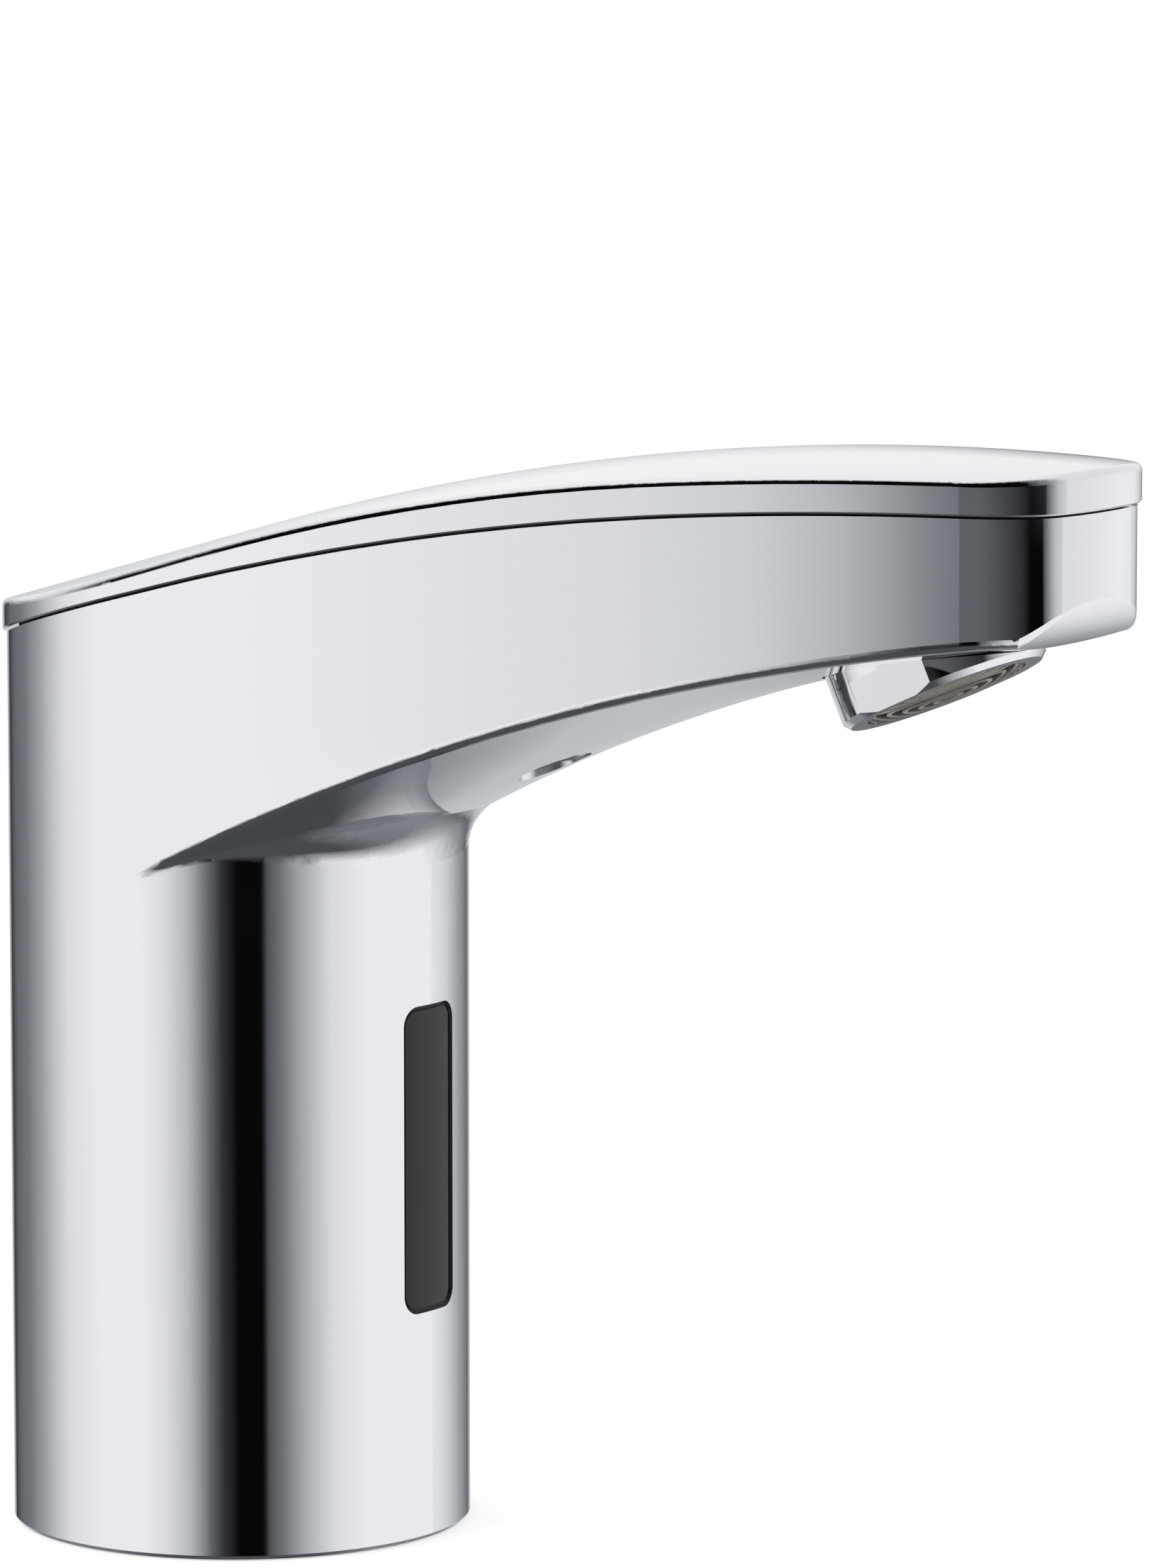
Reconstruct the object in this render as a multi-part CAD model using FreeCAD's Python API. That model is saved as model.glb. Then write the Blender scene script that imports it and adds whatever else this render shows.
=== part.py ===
import FreeCAD, Part
import math
import os
from FreeCAD import Vector

os.makedirs("parts", exist_ok=True)

# Sensor tap for a basin. Millimetres, +Z up, spout along +X, the origin at the
# centre of the foot on the deck, and the XZ plane as the plane of symmetry.

# ---------------------------------------------------------------- column and spout, from above
COLUMN_R = 27.0            # outside radius of the column
REACH = 114.6              # from the column's axis to the nose of the spout
SIDE_TAPER = 3.0           # degrees, each side of the spout
SIDE_STRAIGHT_END = 70.0   # where the straight side turns into the bowed one
SIDE_BOW_R = 150.0
NOSE_CORNER_R = 11.0
NOSE_R = 62.0

# ---------------------------------------------------------------- column and spout, from the side
SEAM_APEX_X = 102.0        # highest point of the line between body and cover
SEAM_APEX_Z = 124.6
SEAM_R = 380.0
SEAM_STRAIGHT_TO = 8.0     # the line is straight behind this, and an arc ahead of it
BELLY_STATIONS = (20.0, 60.0, 110.0)      # three places along the spout
BELLY_HEIGHTS = (79.8, 98.0, 109.4)       # underside on the centre line, at those places
FLANK_HEIGHTS = (86.7, 100.7, 110.4)      # lower edge of the side, at those places
ROOT_BLEND_R = 8.4         # where the underside meets the front of the column
ROOT_BLEND_FADE = 70.0     # degrees to each side at which that blend has run out
ROOT_BLEND_TURNS = (-62, -54, -44, -32, -17, 0, 17, 32, 44, 54, 62)
BLEND_CREASE = 5.0         # degrees between a blend and the faces it runs into
NOSE_FILLET_R = 8.0        # lower edge of the nose
NOSE_CREASE = 14.0         # degrees between the nose's round lower edge and its neighbours
FLANK_FILLET_R = 1.2       # lower edge of the sides
FOOT_CHAMFER = 0.5
WALL = 2.8                 # of the casting
NOSE_WALL = 8.6            # solid metal behind the nose

# ---------------------------------------------------------------- foot
FOOT_BORE_R = 22.0
WEB_BOTTOM_Z = 5.0
WEB_TOP_Z = 13.0
LOWER_BORE_R = 23.2        # bore of the column up to the ledge that carries the battery holder
LEDGE_Z = 66.8
STUD_HOLE_R = 3.4          # tapped M8
STUD_BOSS_R = 7.0
STUD_HOLE_DEPTH = 11.0
BASE_SEAL_R = 24.2         # middle radius of the seal ring
BASE_SEAL_WIDTH = 2.2
BASE_SEAL_HEIGHT = 1.6

# ---------------------------------------------------------------- cover
COVER_OVERHANG = 0.5
COVER_GAP = 0.3            # shadow line between body and cover
CROWN_APEX_X = 91.0        # highest point of the cover's middle line
CROWN_APEX_Z = 130.1
CROWN_R = 294.0
CROWN_STRAIGHT_TO = 12.0
CROWN_ACROSS_R = 150.0     # the cover's curve from side to side
COVER_TOP_WALL = 2.2
COVER_EDGE_ROUND = 0.9
COVER_EDGE_ANGLE = 60.0        # degrees, so that the round takes only the upper edge
COVER_LOWER_CHAMFER = 0.2
SKIRT_WALL = 1.2
SKIRT_DEPTH = 3.0
SKIRT_CLEARANCE = 0.3
COVER_SEAL_HEIGHT = 0.9
SEAL_OUTER_INSET = 1.5
SEAL_INNER_INSET = 2.6
COVER_BOSS_R = 4.0
CROWN_FRONT_TURN = 8.0     # degrees that the bowed top runs on ahead of its highest point

# ---------------------------------------------------------------- cover screw
SCREW_X = 44.0
SCREW_THREAD_R = 1.95
SCREW_HEAD_R = 3.6
SCREW_HEAD_HEIGHT = 2.4
SCREW_HEX = 3.0            # across flats
SCREW_HEX_DEPTH = 1.4
SCREW_SEAT_Z = 95.2        # underside of the spout's pillar, where the head seats
SCREW_TIP_Z = 108.0
PILLAR_TOP_Z = 99.0
PILLAR_R = 5.4
RECESS_R = 4.2
THREAD_CLEARANCE = 0.05
SHANK_CLEARANCE = 0.25
FACE_GAP = 0.3             # between faces of pieces that don't carry each other

# ---------------------------------------------------------------- window and sensor
WINDOW_WIDTH = 10.2
WINDOW_BOTTOM_Z = 26.9
WINDOW_TOP_Z = 63.0
WINDOW_CORNER_R = 2.3
WINDOW_RECESS = 0.3        # below the column's skin
WINDOW_THICKNESS = 2.0
GASKET_WIDTH = 0.6
GASKET_RECESS = 0.5
WINDOW_FRAME = 1.6         # of the housing, behind the window's edge
HOUSING_WIDTH = 16.0
HOUSING_BACK_X = 13.4
HOUSING_WALL = 1.2
HOUSING_RIM = 1.6          # how far the housing reaches above and below the window
LEG_SIZE = 8.0
SENSOR_SCREW_X = 17.5
SENSOR_SCREW_TOP_Z = 19.0
BOARD_CLEARANCE = 0.2
BOARD_THICKNESS = 1.6
BOARD_BACK_X = 14.2
LENS_R = 2.5
LENS_FLANGE_R = 2.9
LENS_FLANGE_HEIGHT = 1.0
EMITTER_LENGTH = 5.0
RECEIVER_LENGTH = 4.0
EMITTER_Z = 54.0
RECEIVER_Z = 36.0
CHIP_SIZE = 6.0
CHIP_THICKNESS = 1.2

# ---------------------------------------------------------------- aerator
OUTLET = (95.4, 0.0, 103.2)    # centre of the outlet's rim
OUTLET_TILT = 24.2             # degrees forward of straight down
AERATOR_R = 12.0
AERATOR_FLATS = 22.0           # across flats
FLATS_HEIGHT = 4.2
FLATS_TURN = 90.0              # degrees, so that the flats face sideways
AERATOR_THREAD_R = 11.0        # M22 x 1
COLLAR_HEIGHT = 7.6
AERATOR_HEIGHT = 13.0
AERATOR_CHAMFER = 0.7
AERATOR_BORE_R = 9.8
LIP_R = 9.3
LIP_HEIGHT = 1.0
INSERT_RINGS = 5
RING_WIDTH = 0.5
RING_DEPTH = 1.2
STRAINER_HEIGHT = 0.8
AERATOR_SEAL_HEIGHT = 1.4
COLLAR_CLEARANCE = 0.35
OUTLET_BOSS_R = 16.0
OUTLET_BOSS_HEIGHT = 9.4
OUTLET_LUG_WIDTH = 8.0
HOLDER_R = 12.6
HOLDER_EAR_HEIGHT = 3.0
HOLDER_HEIGHT = 18.2           # from the rim of the outlet to the holder's crown
HOLDER_CROWN_WALL = 1.8
HOLDER_CHAMFER = 3.0
HOLDER_SCREW_REACH = 14.9
HOLDER_SCREW_END = 6.5
CHAMBER_R = 8.0

# ---------------------------------------------------------------- water way
VALVE_X = -7.5
BLOCK_R = 15.0
BLOCK_TOP_Z = 27.0
BLOCK_CHAMBER_R = 8.8
BLOCK_CHAMBER_DEPTH = 6.0
SEAT_R = 4.0
SEAT_WALL = 1.0
SEAT_BELOW_TOP = 1.0
INLET_X = -14.0
INLET_SPIGOT_R = 6.6
INLET_THREAD_R = 4.5           # tapped M10 x 1
INLET_THREAD_LENGTH = 9.0
INLET_MOUTH_Z = 2.0
INLET_WAY_R = 1.8
STRAINER_R = 3.0
STRAINER_RIM_R = 4.2
STRAINER_WALL = 0.5
STRAINER_LENGTH = 5.0
CHANNEL_RISE = 4.5             # of the outlet channel above the block's foot
BLOCK_SCREW_REACH = 11.5
BLOCK_SCREW_TOP_Z = 19.0
HOSE_X = 4.0
HOSE_Y = 15.5
HOSE_R = 3.4
HOSE_BORE_R = 2.2
HOSE_BEND_Z = 84.0
HOSE_PASS = (46.0, 12.5, 101.5)    # where the hose passes beside the cover's screw
HOSE_LAST_RUN = 9.0
BEND_SHARE = 0.45              # of the shorter run beside a bend, that the bend takes
BARB_LENGTH = 7.0
BARB_WALL = 0.85
BARB_Z = 15.6                  # above the outlet's rim, along its axis
ARM_R = 5.2

# ---------------------------------------------------------------- solenoid valve
DIAPHRAGM_R = 10.8
DIAPHRAGM_THICKNESS = 1.2
DISH_MARGIN = 0.4
PLATE_R = 5.0
PLATE_THICKNESS = 2.0
PILOT_R = 0.6
NUB_R = 1.6
NUB_HEIGHT = 0.8
PLUNGER_TRAVEL = 1.5
BONNET_R = 11.4
BONNET_EAR_R = 2.9
BONNET_EAR_HEIGHT = 3.0
BONNET_SCREW_DEPTH = 5.0
BONNET_HEIGHT = 6.5
BONNET_SCREW_RING = 12.3
BONNET_SCREWS = 4
PRESSURE_ROOM_R = 9.0
PRESSURE_ROOM_HEIGHT = 3.6
TUBE_R = 5.0
TUBE_WALL = 0.5
TUBE_ABOVE_CLIP = 1.4
PLUNGER_LENGTH = 18.0
PLUNGER_RUNNING = 0.08         # radial
PLUNGER_STOP_GAP = 0.1
TIP_R = 2.6
TIP_HEIGHT = 1.4
TIP_PROUD = 0.6
SPRING_COIL_R = 2.0
SPRING_WIRE_R = 0.3
SPRING_TURNS = 6
SPRING_POCKET_DEPTH = 6.0
SPRING_CLEARANCE = 0.25
YOKE_THICKNESS = 1.2
YOKE_WIDTH = 12.0
BOBBIN_R = 12.6
BOBBIN_WALL = 0.8
COIL_HEIGHT = 20.0
WINDING_R = 11.6
MAGNET_R = 8.5
MAGNET_HEIGHT = 2.6
CLIP_R = 7.0
CLIP_HEIGHT = 0.8

# ---------------------------------------------------------------- battery
BATTERY_LENGTH = 35.0
BATTERY_WIDTH = 19.5
BATTERY_HEIGHT = 35.5
BATTERY_X = -2.0
BATTERY_Y = -1.5
BATTERY_CORNER_R = 3.0
HOLDER_WALL = 1.2
HOLDER_FLOOR = 1.6
HOLDER_RISE = 26.0
BATTERY_CLEARANCE = 0.2
CONTACT_R = 3.0
CONTACT_HEIGHT = 0.5
CONTACT_PITCH = 16.0
BORE_CLEARANCE = 0.3

# ---------------------------------------------------------------- screws and leads
M3_R = 1.45
M3_HEAD_R = 2.7
M3_HEAD_HEIGHT = 1.8
M25_R = 1.2
M25_HEAD_R = 2.1
M25_HEAD_HEIGHT = 1.4
LEAD_SLOT = 8.0
HOSE_NOTCH_CLEARANCE = 0.9

UP = Vector(0, 0, 1)
X_AXIS = Vector(1, 0, 0)
Y_AXIS = Vector(0, 1, 0)


# ================================================================ small helpers
def cylinder(radius, bottom, top, x=0.0, y=0.0):
    return Part.makeCylinder(radius, top - bottom, Vector(x, y, bottom), UP)


def tube(outer, inner, bottom, top, x=0.0, y=0.0):
    return cylinder(outer, bottom, top, x, y).cut(cylinder(inner, bottom, top, x, y))


def block(x0, x1, y0, y1, z0, z1):
    return Part.makeBox(x1 - x0, y1 - y0, z1 - z0, Vector(x0, y0, z0))


def turned(points, centre, axis):
    """Revolve a closed (radius, height) outline about the line through centre along axis."""
    corners = [Vector(r, 0, h) for r, h in points]
    face = Part.Face(Part.makePolygon(corners + corners[:1]))
    body = face.revolve(Vector(0, 0, 0), UP, 360)
    body.Placement = FreeCAD.Placement(centre, FreeCAD.Rotation(UP, axis))
    return body


def rounded_rectangle(width, height, radius, centre, right, up):
    """Face with round corners, in the plane of right and up."""
    edges = []
    half_w = width / 2 - radius
    half_h = height / 2 - radius
    corners = [(half_w, half_h, 0), (-half_w, half_h, 90), (-half_w, -half_h, 180), (half_w, -half_h, 270)]

    def at(u, v):
        return centre + right * u + up * v

    def on_corner(corner, angle):
        turn = math.radians(angle)
        return at(corner[0] + radius * math.cos(turn), corner[1] + radius * math.sin(turn))

    for i, corner in enumerate(corners):
        start = corner[2]
        arc = Part.Arc(on_corner(corner, start), on_corner(corner, start + 45), on_corner(corner, start + 90))
        following = corners[(i + 1) % 4]
        edges.append(arc.toShape())
        edges.append(Part.LineSegment(on_corner(corner, start + 90), on_corner(following, following[2])).toShape())
    return Part.Face(Part.Wire(edges))


def one(shape):
    """A single solid, with its split faces joined."""
    joined = shape.removeSplitter()
    return joined.Solids[0] if len(joined.Solids) == 1 else joined


# ================================================================ outer form
def through_three(places, heights):
    """Centre and radius of the circle through three points of the XZ plane."""
    circle = Part.Circle(*[Vector(x, 0, z) for x, z in zip(places, heights)])
    return circle.Center, circle.Radius


def height_on(circle, x):
    """Height of the upper side of a circle of the XZ plane."""
    centre, radius = circle
    return centre.z + math.sqrt(radius ** 2 - (x - centre.x) ** 2)


BELLY = through_three(BELLY_STATIONS, BELLY_HEIGHTS)
FLANK = through_three(BELLY_STATIONS, FLANK_HEIGHTS)


def half_width(x):
    """Half the spout's width at a place ahead of the column's axis."""
    taper = math.radians(SIDE_TAPER)
    straight = COLUMN_R / math.cos(taper) - x * math.tan(taper)
    if x <= SIDE_STRAIGHT_END:
        return straight
    centre = bow_centre()
    return centre.y + math.sqrt(SIDE_BOW_R ** 2 - (x - centre.x) ** 2)


def side_normal():
    taper = math.radians(SIDE_TAPER)
    return Vector(math.sin(taper), math.cos(taper), 0)


def side_end():
    """Where the straight side ends, seen from above."""
    taper = math.radians(SIDE_TAPER)
    return Vector(SIDE_STRAIGHT_END, COLUMN_R / math.cos(taper) - SIDE_STRAIGHT_END * math.tan(taper), 0)


def bow_centre():
    return side_end() - side_normal() * SIDE_BOW_R


def plan_outline(grown):
    """Outline of column and spout from above, moved outward by grown."""
    normal = side_normal()
    bow = bow_centre()
    nose = Vector(REACH - NOSE_R, 0, 0)
    bow_to_corner = SIDE_BOW_R - NOSE_CORNER_R
    nose_to_corner = NOSE_R - NOSE_CORNER_R
    apart = (nose - bow).Length
    line = (nose - bow) / apart
    along = (bow_to_corner ** 2 - nose_to_corner ** 2 + apart ** 2) / (2 * apart)
    aside = math.sqrt(bow_to_corner ** 2 - along ** 2)
    corner = bow + line * along + Vector(line.y, -line.x, 0) * aside
    from_bow = (corner - bow).normalize()
    from_nose = (corner - nose).normalize()

    points = [
        normal * (COLUMN_R + grown),
        side_end() + normal * grown,
        bow + (normal + from_bow).normalize() * (SIDE_BOW_R + grown),
        bow + from_bow * (SIDE_BOW_R + grown),
        corner + (from_bow + from_nose).normalize() * (NOSE_CORNER_R + grown),
        nose + from_nose * (NOSE_R + grown),
    ]
    tip = nose + X_AXIS * (NOSE_R + grown)
    back = Vector(-COLUMN_R - grown, 0, 0)
    mirror = [Vector(p.x, -p.y, 0) for p in points]
    edges = [
        Part.Arc(mirror[0], back, points[0]).toShape(),
        Part.LineSegment(points[0], points[1]).toShape(),
        Part.Arc(points[1], points[2], points[3]).toShape(),
        Part.Arc(points[3], points[4], points[5]).toShape(),
        Part.Arc(points[5], tip, mirror[5]).toShape(),
        Part.Arc(mirror[5], mirror[4], mirror[3]).toShape(),
        Part.Arc(mirror[3], mirror[2], mirror[1]).toShape(),
        Part.LineSegment(mirror[1], mirror[0]).toShape(),
    ]
    return Part.Wire(edges)


def plan_prism(grown, bottom, top):
    face = Part.Face(plan_outline(grown))
    face.translate(Vector(0, 0, bottom))
    return face.extrude(Vector(0, 0, top - bottom))


SIDE = 30.0                    # half width of the tools that cut right across
BACK_X = -40.0
FRONT_X = 130.0
HIGH_Z = 145.0


def across(edges):
    """Prism across the whole tap from an outline in the XZ plane."""
    face = Part.Face(Part.Wire(edges))
    face.translate(Vector(0, -SIDE, 0))
    return face.extrude(Vector(0, 2 * SIDE, 0))


def seam_height(x):
    if x > SEAM_STRAIGHT_TO:
        return SEAM_APEX_Z - SEAM_R + math.sqrt(SEAM_R ** 2 - (x - SEAM_APEX_X) ** 2)
    slope = math.tan(math.asin((SEAM_APEX_X - SEAM_STRAIGHT_TO) / SEAM_R))
    return seam_height(SEAM_STRAIGHT_TO + 1e-6) + slope * (x - SEAM_STRAIGHT_TO)


def below_seam(lift):
    """Everything below the line between body and cover, raised by lift."""
    join = Vector(SEAM_STRAIGHT_TO, 0, seam_height(SEAM_STRAIGHT_TO) + lift)
    back = Vector(BACK_X, 0, seam_height(BACK_X) + lift)
    top = Vector(SEAM_APEX_X, 0, SEAM_APEX_Z + lift)
    front = Vector(FRONT_X, 0, seam_height(FRONT_X) + lift)
    low_front = Vector(FRONT_X, 0, -1)
    low_back = Vector(BACK_X, 0, -1)
    return across([
        Part.LineSegment(back, join).toShape(),
        Part.Arc(join, top, front).toShape(),
        Part.LineSegment(front, low_front).toShape(),
        Part.LineSegment(low_front, low_back).toShape(),
        Part.LineSegment(low_back, back).toShape(),
    ])


def bowed_section(x, middle_z, radius, far_z, hollow):
    """Section across the tap: an arc of radius below far_z, or above it, closed by straight lines."""
    sag = radius - math.sqrt(radius ** 2 - SIDE ** 2)
    edge_z = middle_z + sag if hollow else middle_z - sag
    left = Vector(x, -SIDE, edge_z)
    right = Vector(x, SIDE, edge_z)
    far_right = Vector(x, SIDE, far_z)
    far_left = Vector(x, -SIDE, far_z)
    return Part.Wire([
        Part.Arc(left, Vector(x, 0, middle_z), right).toShape(),
        Part.LineSegment(right, far_right).toShape(),
        Part.LineSegment(far_right, far_left).toShape(),
        Part.LineSegment(far_left, left).toShape(),
    ])


BELLY_SECTIONS = (-3.0, 12.0, 28.0, 46.0, 64.0, 82.0, 100.0, 125.0)


def belly_bow(x):
    """Middle height and radius of the underside's curve across the spout."""
    middle_z = height_on(BELLY, x)
    rise = height_on(FLANK, x) - middle_z
    half = half_width(min(x, REACH - NOSE_CORNER_R))
    return middle_z, (half ** 2 + rise ** 2) / (2 * rise)


def above_belly(lift):
    """Everything above the underside of the spout, raised by lift."""
    sections = []
    for x in BELLY_SECTIONS:
        middle_z, radius = belly_bow(x)
        sections.append(bowed_section(x, middle_z + lift, radius, HIGH_Z, True))
    return Part.makeLoft(sections, True)


def touch_belly(outward, centre_r, radius):
    """Height of a circle's centre where it just touches the underside, and the touching angle."""
    lowest = None
    for quarter_degrees in range(181):
        angle = math.radians(90 + quarter_degrees / 4)
        place = outward * (centre_r + radius * math.cos(angle))
        middle_z, bow = belly_bow(place.x)
        height = middle_z + bow - math.sqrt(bow ** 2 - place.y ** 2) - radius * math.sin(angle)
        if lowest is None or height < lowest[0]:
            lowest = (height, angle)
    return lowest


def root_section(turn):
    """Section of the root blend in the plane through the column's axis at an angle from the spout."""
    radius = ROOT_BLEND_R * (1 - (turn / ROOT_BLEND_FADE) ** 2)
    outward = Vector(math.cos(math.radians(turn)), math.sin(math.radians(turn)), 0)
    centre_z, angle = touch_belly(outward, COLUMN_R + radius, radius)
    upward = outward * math.cos(angle) + UP * math.sin(angle)
    sink = radius * (1 - math.cos(math.radians(BLEND_CREASE)))
    centre = outward * (COLUMN_R + radius - sink) + UP * centre_z + upward * sink
    on_column = centre - outward * radius
    on_belly = centre + upward * radius
    between = centre + (upward - outward).normalize() * radius
    inside = outward * (COLUMN_R - WALL) + UP * (on_belly.z + WALL / 2)
    return Part.Wire([
        Part.Arc(on_column, between, on_belly).toShape(),
        Part.LineSegment(on_belly, inside).toShape(),
        Part.LineSegment(inside, on_column).toShape(),
    ])


def root_blend():
    return Part.makeLoft([root_section(turn) for turn in ROOT_BLEND_TURNS], True)


def outside_nose_round():
    """What the round lower edge of the nose takes off the spout."""
    centre, radius = BELLY
    depth = NOSE_FILLET_R * math.cos(math.radians(NOSE_CREASE))
    middle_x = REACH - depth
    middle_z = centre.z + math.sqrt((radius + depth) ** 2 - (middle_x - centre.x) ** 2)
    middle = Vector(middle_x, 0, middle_z)
    down = (centre - middle).normalize()
    start = middle + down * NOSE_FILLET_R
    end = middle + X_AXIS * NOSE_FILLET_R
    half_way = middle + (down + X_AXIS).normalize() * NOSE_FILLET_R
    far_high = Vector(FRONT_X, 0, end.z)
    far_low = Vector(FRONT_X, 0, start.z - NOSE_FILLET_R)
    low = Vector(start.x, 0, far_low.z)
    return across([
        Part.Arc(start, half_way, end).toShape(),
        Part.LineSegment(end, far_high).toShape(),
        Part.LineSegment(far_high, far_low).toShape(),
        Part.LineSegment(far_low, low).toShape(),
        Part.LineSegment(low, start).toShape(),
    ])


def column_and_spout(inset, column_r, bottom, seam_lift):
    """Outer form at inset 0, and the hollow inside a wall of that thickness."""
    column = cylinder(column_r, bottom, HIGH_Z)
    spout = plan_prism(-inset, BELLY_HEIGHTS[0] - 2 * COLUMN_R, HIGH_Z).common(above_belly(inset))
    return column.fuse(spout).common(below_seam(seam_lift))


def sharp_edges(shape, low, high, least=20.0):
    """Edges between two heights whose faces meet at an angle, in degrees."""
    found = []
    for edge in shape.Edges:
        box = edge.BoundBox
        if box.ZMin < low or box.ZMax > high:
            continue
        faces = shape.ancestorsOfType(edge, Part.Face)
        if len(faces) < 2:
            continue
        middle = edge.valueAt((edge.FirstParameter + edge.LastParameter) / 2)
        normals = [face.normalAt(*face.Surface.parameter(middle)) for face in faces[:2]]
        if math.degrees(normals[0].getAngle(normals[1])) > least:
            found.append(edge)
    return found


def save(name, shape):
    """Write one sub-part, made of the solids of a shape."""
    solids = shape.Solids
    whole = solids[0] if len(solids) == 1 else Part.makeCompound(solids)
    faults = [s for s in solids if not s.isValid()]
    print(f"{name:18s} solids {len(solids)}  volume {whole.Volume / 1000:9.3f} cm3  faults {len(faults)}")
    whole.exportStep(f"parts/{name}.step")
    return whole


# ================================================================ outlet frame
UPSTREAM = FreeCAD.Rotation(Y_AXIS, -OUTLET_TILT)
OUTLET_FRAME = FreeCAD.Placement(Vector(*OUTLET), UPSTREAM)


def at_outlet(shape):
    """Put a shape built upward from the origin on the outlet's axis, rim down."""
    placed = shape.copy()
    placed.Placement = OUTLET_FRAME.multiply(placed.Placement)
    return placed


# ================================================================ body
def outlet_lugs():
    """One bar across the spout at the outlet: its two ends are the lugs for the holder's screws."""
    half = OUTLET_LUG_WIDTH / 2
    return block(-half, half, -COLUMN_R, COLUMN_R, 0.0, OUTLET_BOSS_HEIGHT)


def well_below_seam(edge):
    middle = edge.valueAt((edge.FirstParameter + edge.LastParameter) / 2)
    return edge.Length > COVER_GAP * 4 and seam_height(middle.x) - middle.z > FLANK_FILLET_R


def outer_form():
    form = one(column_and_spout(0.0, COLUMN_R, 0.0, -COVER_GAP / 2).cut(outside_nose_round()))
    lower_edges = [e for e in sharp_edges(form, LEDGE_Z, HIGH_Z) if well_below_seam(e)]
    lower_edges.sort(key=lambda edge: edge.BoundBox.XMax)
    form = form.makeFillet(FLANK_FILLET_R, lower_edges)
    form = one(form.fuse(root_blend()))
    foot_edge = [e for e in form.Edges if e.BoundBox.ZMax < FOOT_CHAMFER]
    return form.makeChamfer(FOOT_CHAMFER, foot_edge)


def hollow():
    upper = column_and_spout(WALL, COLUMN_R - WALL, LEDGE_Z, WALL)
    upper = upper.cut(block(REACH - NOSE_WALL, FRONT_X, -SIDE, SIDE, 0, HIGH_Z))
    lower = cylinder(LOWER_BORE_R, WEB_TOP_Z, LEDGE_Z + WALL)
    return upper.fuse(lower).fuse(cylinder(FOOT_BORE_R, -WALL, WEB_BOTTOM_Z))


def window_profile(inset):
    height = WINDOW_TOP_Z - WINDOW_BOTTOM_Z
    centre = Vector(0, 0, WINDOW_BOTTOM_Z + height / 2)
    radius = WINDOW_CORNER_R - inset
    return rounded_rectangle(WINDOW_WIDTH - 2 * inset, height - 2 * inset, radius, centre, Y_AXIS, UP)


def window_prism(inset, to_x=COLUMN_R):
    """The window's outline, pulled in by inset, from the back of the sensor housing forward."""
    face = window_profile(inset)
    face.translate(X_AXIS * HOUSING_BACK_X)
    return face.extrude(X_AXIS * (to_x - HOUSING_BACK_X))


def base_seal_ring():
    half = BASE_SEAL_WIDTH / 2
    return tube(BASE_SEAL_R + half, BASE_SEAL_R - half, 0, BASE_SEAL_HEIGHT)


def block_screw_places():
    return [(VALVE_X, BLOCK_SCREW_REACH), (VALVE_X, -BLOCK_SCREW_REACH)]


def make_body():
    form = outer_form()
    body = form.cut(hollow())

    body = body.fuse(cylinder(STUD_BOSS_R, 0, WEB_BOTTOM_Z))
    body = body.cut(cylinder(STUD_HOLE_R, -1, STUD_HOLE_DEPTH))
    body = body.cut(cylinder(INLET_SPIGOT_R + FACE_GAP, 0, WEB_TOP_Z, INLET_X))
    for x, y in block_screw_places() + [(SENSOR_SCREW_X, 0.0)]:
        body = body.cut(cylinder(M3_R + SHANK_CLEARANCE, 0, WEB_TOP_Z, x, y))
    body = body.cut(base_seal_ring())

    pillar = cylinder(PILLAR_R, BELLY_HEIGHTS[0], PILLAR_TOP_Z, SCREW_X).common(form)
    body = body.fuse(pillar)
    body = body.cut(cylinder(RECESS_R, BELLY_HEIGHTS[0], SCREW_SEAT_Z, SCREW_X))
    body = body.cut(cylinder(SCREW_THREAD_R + SHANK_CLEARANCE, BELLY_HEIGHTS[0], HIGH_Z, SCREW_X))

    boss = cylinder(OUTLET_BOSS_R, -NOSE_WALL, OUTLET_BOSS_HEIGHT)
    boss = boss.fuse(outlet_lugs())
    body = body.fuse(at_outlet(boss).common(form))
    bore = cylinder(AERATOR_R + COLLAR_CLEARANCE, -2 * AERATOR_HEIGHT, OUTLET_BOSS_HEIGHT)
    body = body.cut(at_outlet(bore))
    for y in (HOLDER_SCREW_REACH, -HOLDER_SCREW_REACH):
        body = body.cut(at_outlet(cylinder(M25_R, HOLDER_SCREW_END, OUTLET_BOSS_HEIGHT, 0, y)))

    body = body.cut(window_prism(0.0, COLUMN_R + WALL))
    return one(body)


# ================================================================ cover
def below_crown(lowered):
    """Everything below the cover's bowed top, lowered by a wall: turned ahead, straight behind."""
    section = Part.Face(bowed_section(CROWN_APEX_X, CROWN_APEX_Z - lowered, CROWN_ACROSS_R, LEDGE_Z, False))
    hub = Vector(CROWN_APEX_X, 0, CROWN_APEX_Z - CROWN_R)
    back_turn = math.degrees(math.asin((CROWN_APEX_X - CROWN_STRAIGHT_TO) / CROWN_R))
    section.rotate(hub, Y_AXIS, -back_turn)
    turned_part = section.revolve(hub, Y_AXIS, back_turn + CROWN_FRONT_TURN)
    backward = Vector(-math.cos(math.radians(back_turn)), 0, -math.sin(math.radians(back_turn)))
    return turned_part.fuse(section.extrude(backward * (CROWN_STRAIGHT_TO - BACK_X)))


def plan_ring(outer, inner):
    """Ring between two outlines from above, as high as the whole tap."""
    return plan_prism(outer, 0, HIGH_Z).cut(plan_prism(inner, 0, HIGH_Z))


def between_seams(low, high):
    return below_seam(high).cut(below_seam(low))


def near_seam(edge):
    middle = edge.valueAt((edge.FirstParameter + edge.LastParameter) / 2)
    return abs(middle.z - seam_height(middle.x)) < COVER_GAP + COVER_LOWER_CHAMFER


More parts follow.
